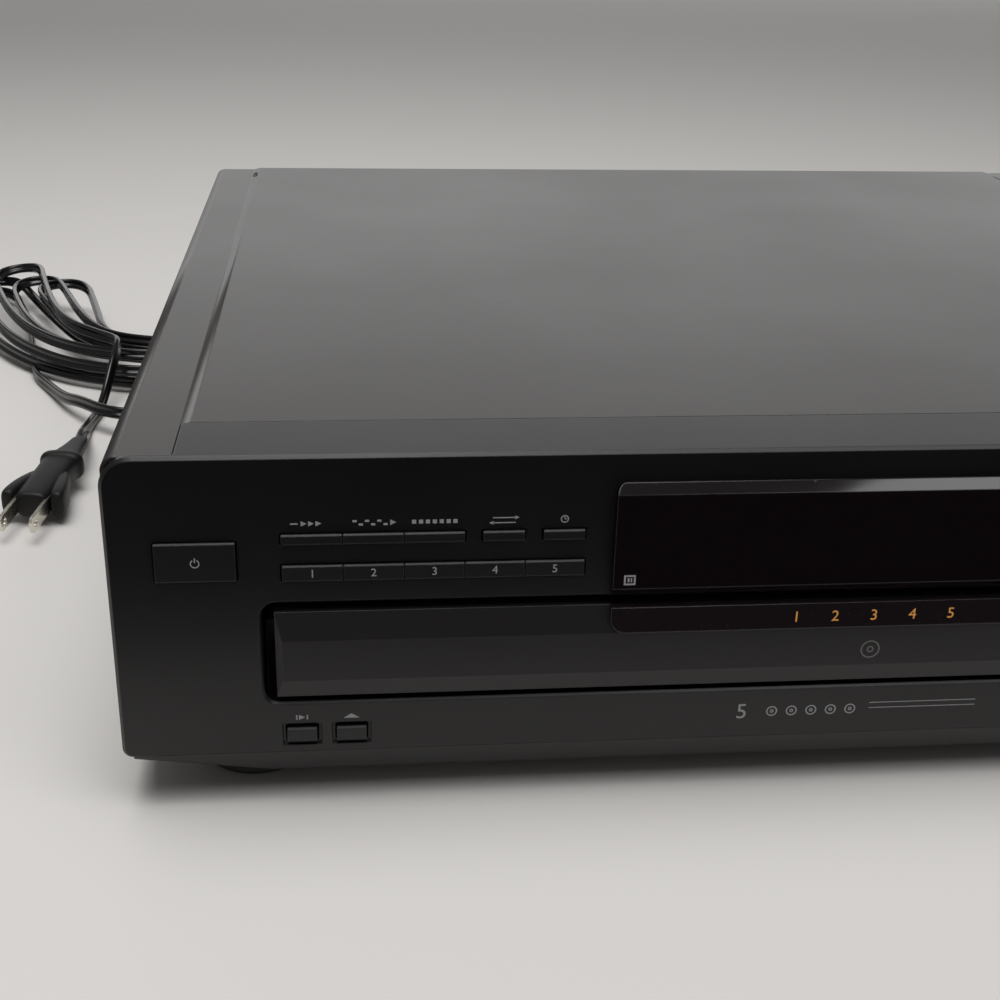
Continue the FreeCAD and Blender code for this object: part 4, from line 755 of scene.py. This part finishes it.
def lead_rolls(line, sizes):
    """The lead's roll at each point: level at its ends, and elsewhere on edge and leaning back."""
    headings = [(after - before).normalized() for before, after in zip(line, line[1:])]
    headings.append(headings[-1])
    spread = max(2, round(sizes.turning / sizes.station))
    rolls = []
    for k in range(len(line)):
        near = headings[max(k - spread, 0):k + spread + 1]
        across = sum(near, Vector()).cross(Vector((0, 0, 1)))
        share = across.dot(BROAD_SIDE) / max(across.length, 1e-6)
        run = k * sizes.station
        drift = sum(far * math.sin(run * often + start) for far, often, start in UNEVEN)
        from_end = min(run, (len(line) - 1 - k) * sizes.station) / sizes.levelling
        level = min(max(from_end, 0.0), 1.0)
        level = level * level * (3 - 2 * level)
        rolls.append(level * (math.pi / 2 + sizes.roll * share + drift))
    return rolls


def sweep_section(name, line, section, rolls):
    """A closed tube with a section that stands across the line, rolled at each point."""
    form = bmesh.new()
    rings = []
    for k, here in enumerate(line):
        ahead = (line[min(k + 1, len(line) - 1)] - line[max(k - 1, 0)]).normalized()
        across = ahead.cross(Vector((0, 0, 1))).normalized()
        up = across.cross(ahead).normalized()
        c, s = math.cos(rolls[k]), math.sin(rolls[k])
        wide, tall = across * c + up * s, up * c - across * s
        rings.append([form.verts.new(here + wide * x + tall * y) for x, y in section])
    skin(form, rings)
    return mesh_of(form, name, smooth=True)


# ---- plug

PLUG_NECK = Vector(LEAD_END[-1]) * MM
PLUG_FACE = Vector((-280, 1, 9)) * MM
# Stations of the moulded plug from its neck to the blade face, in millimetres: along, width, height.
PLUG_BODY = [
    (0, 6.6, 4.6), (1.2, 7.4, 5.4), (9, 8.6, 6.6), (17, 11.5, 9.0), (22.5, 14.0, 10.6), (23.2, 18.4, 12.8),
    (24.4, 19.2, 13.4), (26.2, 19.2, 13.4), (27.4, 18.2, 12.8), (28.2, 15.6, 11.6), (36, 15.4, 12.0),
    (48, 15.0, 12.2), (58, 14.8, 12.0), (63.5, 14.4, 11.8), (65.4, 12.8, 10.6),
]
# Stations of one finger grip: along, out from the middle, width, height.
PLUG_GRIP = [
    (36, 5.4, 3.0, 6.0), (40, 6.2, 4.4, 8.4), (46, 7.4, 5.6, 10.4), (52, 8.8, 6.4, 11.4),
    (58, 9.8, 6.6, 11.8), (62, 10.2, 6.2, 11.6), (64, 10.4, 4.4, 10.0),
]


def rounded_section(width, height, count=20, squareness=3.2):
    """A rounded rectangle as a superellipse."""
    section = []
    for k in range(count):
        turn = 2 * math.pi * (k + 0.5) / count
        c, s = math.cos(turn), math.sin(turn)
        section.append((
            math.copysign(abs(c) ** (2 / squareness), c) * width / 2,
            math.copysign(abs(s) ** (2 / squareness), s) * height / 2,
        ))
    return section


def loft(form, stations, frame_of):
    """Adds a closed skin over stations of along, out, width and height; frame_of gives a point's place."""
    skin(form, [
        [form.verts.new(frame_of(along, out + x, y)) for x, y in rounded_section(width, height)]
        for along, out, width, height in stations
    ])


def plug_mesh(name):
    """The plug's body with a finger grip on each side, from its neck to its blade face."""
    along = (PLUG_FACE - PLUG_NECK).normalized()
    reach = (PLUG_FACE - PLUG_NECK).length / MM / PLUG_BODY[-1][0]
    across = along.cross(Vector((0, 0, 1))).normalized()
    up = across.cross(along)

    def frame_of(a, x, z):
        return PLUG_NECK + (along * a * reach + across * x + up * z) * MM

    form = bmesh.new()
    loft(form, [(a, 0, width, height) for a, width, height in PLUG_BODY], frame_of)
    for side in (1, -1):
        loft(form, [(a, side * out, width, height) for a, out, width, height in PLUG_GRIP], frame_of)
    return mesh_of(form, name, smooth=True)


# ---- cover

# Points nearer than WELD are one; a face square to an axis has a part of its normal over SQUARE.
WELD = 0.000001
SQUARE = 0.9999


def cut_cover(name, sizes):
    """The cover's shape with the lower front corners of its side flanges cut off on a slant."""
    node = NODES["top_cover"]
    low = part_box("top_cover")[0]
    form = bmesh.new()
    form.from_mesh(node.data)
    form.transform(node.matrix_world)
    bmesh.ops.remove_doubles(form, verts=form.verts, dist=WELD)
    cut = bmesh.ops.bisect_plane(
        form, geom=form.verts[:] + form.edges[:] + form.faces[:], plane_co=(0, low.y, low.z + sizes.rise),
        plane_no=(0, -sizes.rise, -sizes.run), clear_outer=True,
    )
    rim = [item for item in cut["geom_cut"] if isinstance(item, bmesh.types.BMEdge)]
    bmesh.ops.edgenet_fill(form, edges=rim)
    bmesh.ops.recalc_face_normals(form, faces=form.faces)
    form.verts.index_update()
    points = [vertex.co[:] for vertex in form.verts]
    faces = [[vertex.index for vertex in face.verts] for face in form.faces]
    mesh = bpy.data.meshes.new(name)
    mesh.from_pydata(points, [], faces)
    if any(len(edge.link_faces) != 2 for edge in form.edges):
        raise RuntimeError("the cut cover isn't closed")
    form.free()
    for face in mesh.polygons:
        face.use_smooth = max(abs(part) for part in face.normal) < SQUARE
    return mesh


# ---- marks

DISCS = range(1, 6)
MIDDLE_DISC = 3
# In metres, places on the front being across and up:
NUMBER_PITCH = 0.0115
NUMBER_MIDDLE = (0.0013, 0.059)
WELL_DEPTH = 0.0028
WELL_NUMBER_REACH = 0.151
KEY_SIGN_RISE = 0.0046
SMALL_KEY_SIGN_RISE = 0.0056
WINDOW_SIGN = (-0.0711, 0.0722)
DISC_SIGN = (0.0018, 0.0475)
CAPACITY_NUMBER = (-0.034, 0.0258)
CAPACITY_HEIGHT = 0.0050
DISC_ROW = (-0.0248, 0.0258)
LOWER_RULES = (0.0215, 0.0268)
PHONES_SIGN_RISE = 0.0105
LETTER_INSET = 0.0058
LETTER_RISE = 0.0085
# In millimetres: from disc to disc of the row; a tick's reach from and to, and half its width.
DISC_ROW_PITCH = 6.0
TICK = (8.3, 10.0, 0.15)
TICK_ANGLES = range(-140, 141, 28)
# How much of the knob mark's height is sunk.
MARK_SUNK = 0.8


def on_front(place, y):
    """A place given across and up, on the surface at y."""
    return Vector((place[0], y, place[1]))


def key_signs(u):
    """Each key's sign, u its height in millimetres: its rise over the key or None on it, and outlines."""
    over, over_small = KEY_SIGN_RISE, SMALL_KEY_SIGN_RISE
    return {
        "power_button": (None, [
            *ring(0, 0, u * 0.62, u * 0.15, -240, 60), bar(0, u * 0.48, u * 0.15, u * 0.66),
        ]),
        "continue_button": (over, [
            *(arrow(k * u * 0.95, 0, u * 0.75) for k in (-1, 0, 1)), bar(-u * 2.2, 0, u, 0.4),
        ]),
        "shuffle_button": (over, [
            *(bar(k * u * 0.8, (k % 2 - 0.5) * u * 0.5, u * 0.55, u * 0.3) for k in range(-3, 3)),
            arrow(u * 2.6, 0, u * 0.8),
        ]),
        "program_button": (over, [bar(k * u * 0.9, 0, u * 0.55, u * 0.55) for k in range(-3, 4)]),
        "repeat_button": (over, [
            bar(0, u * 0.36, u * 3.0, 0.3), bar(0, -u * 0.36, u * 3.0, 0.3),
            arrow(u * 1.7, u * 0.36, u * 0.55), arrow(-u * 1.7, -u * 0.36, u * 0.55, -1),
        ]),
        "time_button": (over, [
            *ring(0, 0, u * 0.55, u * 0.14),
            bar(0, u * 0.16, 0.25, u * 0.4), bar(u * 0.14, 0, u * 0.35, 0.25),
        ]),
        "scan_button": (over_small, [
            arrow(0, 0, u * 0.8), bar(-u * 0.7, 0, 0.4, u * 0.7), bar(u * 0.75, 0, 0.4, u * 0.7),
        ]),
        "fade_button": (over_small, [wedge(0, -u * 0.3, u * 2.2, u * 0.7)]),
        "play_button": (None, [arrow(0, 0, u * 1.7)]),
        "pause_button": (None, [bar(-u * 0.4, 0, u * 0.4, u * 1.5), bar(u * 0.4, 0, u * 0.4, u * 1.5)]),
        "stop_button": (None, [bar(0, 0, u * 1.4, u * 1.4)]),
        "skip_button": (None, [arrow(-u * 0.5, 0, u), arrow(u * 0.4, 0, u), bar(u * 1.1, 0, u * 0.25, u)]),
        "exchange_button": (None, [
            *ring(0, 0, u * 0.62, u * 0.18, 20, 160), *ring(0, 0, u * 0.62, u * 0.18, 200, 340),
            arrow(u * 0.62, u * 0.1, u * 0.5), arrow(-u * 0.62, -u * 0.1, u * 0.5, -1),
        ]),
        "open_button": (None, [wedge(0, -u * 0.1, u * 1.5, u * 0.8), bar(0, -u * 0.45, u * 1.5, u * 0.28)]),
    }


def scale_ticks():
    """The ticks round the level knob, in millimetres from its middle."""
    near, far, half = TICK
    corners = ((near, -half), (far, -half), (far, half), (near, half))
    ticks = []
    for degrees in TICK_ANGLES:
        turn = math.radians(90 - degrees)
        c, s = math.cos(turn), math.sin(turn)
        ticks.append([(reach * c - side * s, reach * s + side * c) for reach, side in corners])
    return ticks


# ---- studio

# Each plate's near left and far right corners, and its height; the card's far edge is a setting.
FLOOR_CORNERS = ((-6, -4), (6, 10))
FLOOR_LEVEL = -0.0002
CARD_CORNER = (-1.6, -2.4)
CARD_RIGHT = 1.6
CARD_LEVEL = 0.0003
# Each lamp: its power's setting, place, aim, two sides and spread in degrees.
LAMPS = {
    "rear_lamp": ("rear_power", (0.2, 4.2, 1.0), (0.0, 0.0, 0.1), (6.0, 1.5), 180),
    "top_lamp": ("top_power", (-0.3, -0.2, 1.9), (-0.15, -0.05, 0.0), (1.5, 1.2), 110),
    "front_lamp": ("front_power", (0.97, -1.02, 1.9), (0.85, -0.8, 0.0), (1.4, 0.5), 180),
}
SKY = (1.0, 0.99, 0.975, 1.0)


def studio_plate(name, corners, level):
    """A flat plate of the studio, in the finish of its name."""
    (left, front), (right, back) = corners
    mesh = bpy.data.meshes.new(name)
    points = [(left, front, 0), (right, front, 0), (right, back, 0), (left, back, 0)]
    mesh.from_pydata(points, [], [(0, 1, 2, 3)])
    mesh.materials.append(bpy.data.materials[name])
    plate = bpy.data.objects.new(name, mesh)
    plate.location.z = level
    bpy.context.scene.collection.objects.link(plate)
    return plate


def black_card():
    """Makes a finish that is black with no shine."""
    finish = bpy.data.materials.new("black_card")
    finish.use_nodes = True
    shader = finish.node_tree.nodes["Principled BSDF"].inputs
    shader["Base Color"].default_value = (0.0, 0.0, 0.0, 1.0)
    shader["Specular IOR Level"].default_value = 0.0


def light_room(scene, stage):
    """Weak light from all round, and the lamps."""
    world = bpy.data.worlds.new("studio")
    world.use_nodes = True
    sky = world.node_tree.nodes["Background"].inputs
    sky["Color"].default_value = SKY
    sky["Strength"].default_value = stage.ambient
    scene.world = world
    for name, (power, place, aim, size, spread) in LAMPS.items():
        light = bpy.data.lights.new(name, "AREA")
        light.shape = "RECTANGLE"
        light.size, light.size_y = size
        light.energy = getattr(stage, power)
        light.spread = math.radians(spread)
        lamp = bpy.data.objects.new(name, light)
        lamp.location = place
        lamp.rotation_euler = (Vector(place) - Vector(aim)).to_track_quat("Z", "Y").to_euler()
        scene.collection.objects.link(lamp)


def place_camera(scene, stage):
    """The camera, turned to the right, tilted down and rolled."""
    turn = (
        Matrix.Rotation(-stage.heading, 4, "Z")
        @ Matrix.Rotation(math.pi / 2 - stage.pitch, 4, "X")
        @ Matrix.Rotation(stage.roll, 4, "Z")
    )
    lens = bpy.data.cameras.new("camera")
    lens.sensor_width = 36.0
    lens.lens = stage.lens
    camera = bpy.data.objects.new("camera", lens)
    camera.matrix_world = Matrix.Translation(stage.place) @ turn
    scene.collection.objects.link(camera)
    scene.camera = camera


# ---- operators

# Nodes whose finish isn't their slot's.
OWN_FINISH = {
    "phones_jack": "knob_plastic", "carousel_cap": "cap_plastic", "mains_plug": "plug_vinyl",
    "drawer_nose": "nose_gloss",
}


class FINISH_nodes(bpy.types.Operator):
    """Makes the finishes and gives each CAD node its own"""

    bl_idname = "changer.finish_nodes"
    bl_label = "Finishes"

    def execute(self, context):
        make_finishes(context.scene.changer_colours)
        slots = {part["node"]: part["material_slot"] for part in frame["record"]["subparts"]}
        for name, item in NODES.items():
            finish = bpy.data.materials[OWN_FINISH.get(name, slots[name])]
            if not item.material_slots:
                item.data.materials.append(finish)
            for slot in item.material_slots:
                slot.material = finish
        for plain in [item for item in bpy.data.materials if item.name.endswith("_plain")]:
            bpy.data.materials.remove(plain)
        return {"FINISHED"}


class CUT_cover(bpy.types.Operator):
    """Cuts back the lower front corners of the cover's side flanges, which would hang below the face"""

    bl_idname = "changer.cut_cover"
    bl_label = "Cover"

    def execute(self, context):
        mesh = cut_cover("cover_shell", context.scene.changer_cover)
        shell = add_piece("cover_shell", mesh, "cover_paint", "cabinet")
        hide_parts("top_cover")
        return {"FINISHED"}


class BUILD_plug(bpy.types.Operator):
    """Builds the moulded plug with its ridge and finger grips"""

    bl_idname = "changer.build_plug"
    bl_label = "Plug"

    def execute(self, context):
        plug = add_piece("plug_body", plug_mesh("plug_body"), "plug_vinyl", "cabinet")
        smooth = plug.modifiers.new("smooth", "SUBSURF")
        smooth.levels = smooth.render_levels = 2
        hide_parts("mains_plug")
        return {"FINISHED"}


class BUILD_lead(bpy.types.Operator):
    """Builds the flat mains lead in its loose hank, from the strain relief to the plug"""

    bl_idname = "changer.build_lead"
    bl_label = "Mains lead"

    def execute(self, context):
        sizes = context.scene.changer_lead
        drawn = smooth_line("mains_lead_line", lead_points())
        line, reach = read_line(drawn, sizes.station)
        bpy.data.curves.remove(drawn)
        rolls = lead_rolls(line, sizes)
        mesh = sweep_section("mains_lead", line, lead_section(sizes), rolls)
        lead = add_piece("mains_lead", mesh, "cord_rubber", "cabinet")
        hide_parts("power_cord", "cord_hank", "cord_tail")
        return {"FINISHED"}


class BUILD_numbers(bpy.types.Operator):
    """Prints the disc numbers on their keys, on the drawer and in the turntable"""

    bl_idname = "changer.build_numbers"
    bl_label = "Disc numbers"

    def execute(self, context):
        sizes = context.scene.changer_print
        for disc in DISCS:
            key = f"disc_button_{disc}"
            numeral(f"key_number_{disc}", str(disc), sizes.numeral, front_spot(key), body=f"{key}_unit")
        middle, line = NUMBER_MIDDLE
        for disc in DISCS:
            across = (disc - MIDDLE_DISC) * NUMBER_PITCH + middle
            spot = on_front((across, line), front_of("drawer_nose"))
            name = f"drawer_number_{disc}"
            numeral(name, str(disc), sizes.amber_numeral, spot, "print_amber", "drawer")
        axis = middle_of("carousel_cap")
        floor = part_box("carousel")[1].z - WELL_DEPTH
        for disc in DISCS:
            turn = Matrix.Rotation(math.radians(360 / len(DISCS) * (disc - 1)), 4, "Z")
            spot = Vector((axis.x, axis.y, floor)) + turn @ Vector((0, WELL_NUMBER_REACH, 0))
            name = f"well_number_{disc}"
            numeral(name, str(disc), sizes.well_numeral, spot, "print_grey", "carousel_unit", turn)
        return {"FINISHED"}


class BUILD_signs(bpy.types.Operator):
    """Prints the signs over and on the keys"""

    bl_idname = "changer.build_signs"
    bl_label = "Key signs"

    def execute(self, context):
        face = front_of("front_panel")
        for key, (rise, outlines) in key_signs(context.scene.changer_print.sign / MM).items():
            spot = front_spot(key)
            if rise is None:
                printed(f"{key}_sign", outlines, spot, body=f"{key}_unit")
            else:
                printed(f"{key}_sign", outlines, Vector((spot.x, face, spot.z + rise)))
        return {"FINISHED"}


class BUILD_trims(bpy.types.Operator):
    """Prints the lines and small signs of the window, face, dial, knob and sockets"""

    bl_idname = "changer.build_trims"
    bl_label = "Lines and scales"

    def execute(self, context):
        sizes = context.scene.changer_print
        face = front_of("front_panel")
        screen = [
            bar(0, 1.3, 3.3, 0.5), bar(0, -1.3, 3.3, 0.5), bar(-1.4, 0, 0.5, 2.1), bar(1.4, 0, 0.5, 2.1),
            bar(-0.35, 0, 0.5, 1.3), bar(0.45, 0, 0.4, 1.3),
        ]
        printed("window_sign", screen, on_front(WINDOW_SIGN, front_of("display_window")))
        rings = ring(0, 0, 2.9, 0.45, count=28) + ring(0, 0, 1.05, 0.4)
        printed("disc_sign", rings, on_front(DISC_SIGN, front_of("drawer_front")), "print_grey", "drawer")
        numeral("capacity_number", "5", CAPACITY_HEIGHT, on_front(CAPACITY_NUMBER, face))
        discs = []
        for k in range(len(DISCS)):
            x = k * DISC_ROW_PITCH
            discs += ring(x, 0, 1.7, 0.4) + ring(x, 0, 0.6, 0.35, count=10)
        printed("disc_row", discs, on_front(DISC_ROW, face))
        rules = [bar(0, 0.9, 33.0, 0.25), bar(0, -0.9, 33.0, 0.25)]
        printed("lower_rules", rules, on_front(LOWER_RULES, face))
        knob = middle_of("level_knob")
        printed("level_scale", scale_ticks(), Vector((knob.x, face, knob.z)))
        # Sunk almost flush, since the knob's face is the foremost of the whole.
        sunk = front_of("level_knob") + sizes.raised * MARK_SUNK
        printed("level_mark", [bar(0, 4.2, 0.7, 3.0)], Vector((knob.x, sunk, knob.z)), body="level_unit")
        jack = middle_of("phones_jack")
        phones = ring(0, 0, 1.6, 0.35, 0, 180) + [bar(-1.45, -0.5, 0.7, 1.3), bar(1.45, -0.5, 0.7, 1.3)]
        printed("phones_sign", phones, Vector((jack.x, face, jack.z + PHONES_SIGN_RISE)))
        low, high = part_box("socket_collars")
        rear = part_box("rear_panel")[1].y
        for letter, x in (("L", low.x + LETTER_INSET), ("R", high.x - LETTER_INSET)):
            spot = Vector((x, rear, high.z + LETTER_RISE))
            numeral(f"socket_letter_{letter}", letter, sizes.rear_letter, spot, turn=REARWARD)
        return {"FINISHED"}


class SET_stage(bpy.types.Operator):
    """Sets the floor, the lamps and the camera"""

    bl_idname = "changer.set_stage"
    bl_label = "Studio"

    def execute(self, context):
        scene = context.scene
        stage = scene.changer_stage
        studio_floor("studio_floor", scene.changer_colours.floor)
        floor = studio_plate("studio_floor", FLOOR_CORNERS, FLOOR_LEVEL)
        black_card()
        card = studio_plate("black_card", (CARD_CORNER, (CARD_RIGHT, stage.card)), CARD_LEVEL)
        card.visible_camera = False
        card.visible_diffuse = False
        card.visible_shadow = False
        light_room(scene, stage)
        place_camera(scene, stage)
        scene.view_settings.view_transform = "Standard"
        return {"FINISHED"}


OPERATORS = (
    FINISH_nodes, CUT_cover, BUILD_plug, BUILD_lead, BUILD_numbers, BUILD_signs, BUILD_trims, SET_stage,
)
GROUPS = {
    "changer_cover": CoverSizes,
    "changer_lead": LeadSizes,
    "changer_print": PrintSizes,
    "changer_colours": FinishColours,
    "changer_stage": StageSettings,
}


class CHANGER_PT_panel(bpy.types.Panel):
    """Lists the changer's settings and the steps that build it"""

    bl_label = "Five-disc changer"
    bl_space_type = "VIEW_3D"
    bl_region_type = "UI"
    bl_category = "Changer"

    def draw(self, context):
        for name, group in GROUPS.items():
            box = self.layout.box()
            box.label(text=group.__doc__)
            for key in group.__annotations__:
                box.prop(getattr(context.scene, name), key)
        for operator in OPERATORS:
            self.layout.operator(operator.bl_idname)


def register():
    for group in GROUPS.values():
        bpy.utils.register_class(group)
    for name, group in GROUPS.items():
        setattr(bpy.types.Scene, name, PointerProperty(type=group))
    for operator in OPERATORS:
        bpy.utils.register_class(operator)
    bpy.utils.register_class(CHANGER_PT_panel)


def unregister():
    bpy.utils.unregister_class(CHANGER_PT_panel)
    for operator in reversed(OPERATORS):
        bpy.utils.unregister_class(operator)
    for name, group in GROUPS.items():
        delattr(bpy.types.Scene, name)
        bpy.utils.unregister_class(group)


def main():
    register()
    bpy.ops.changer.finish_nodes()
    bpy.ops.changer.cut_cover()
    bpy.ops.changer.build_plug()
    bpy.ops.changer.build_lead()
    bpy.ops.changer.build_numbers()
    bpy.ops.changer.build_signs()
    bpy.ops.changer.build_trims()
    bpy.ops.changer.set_stage()


if __name__ == "__main__":
    main()
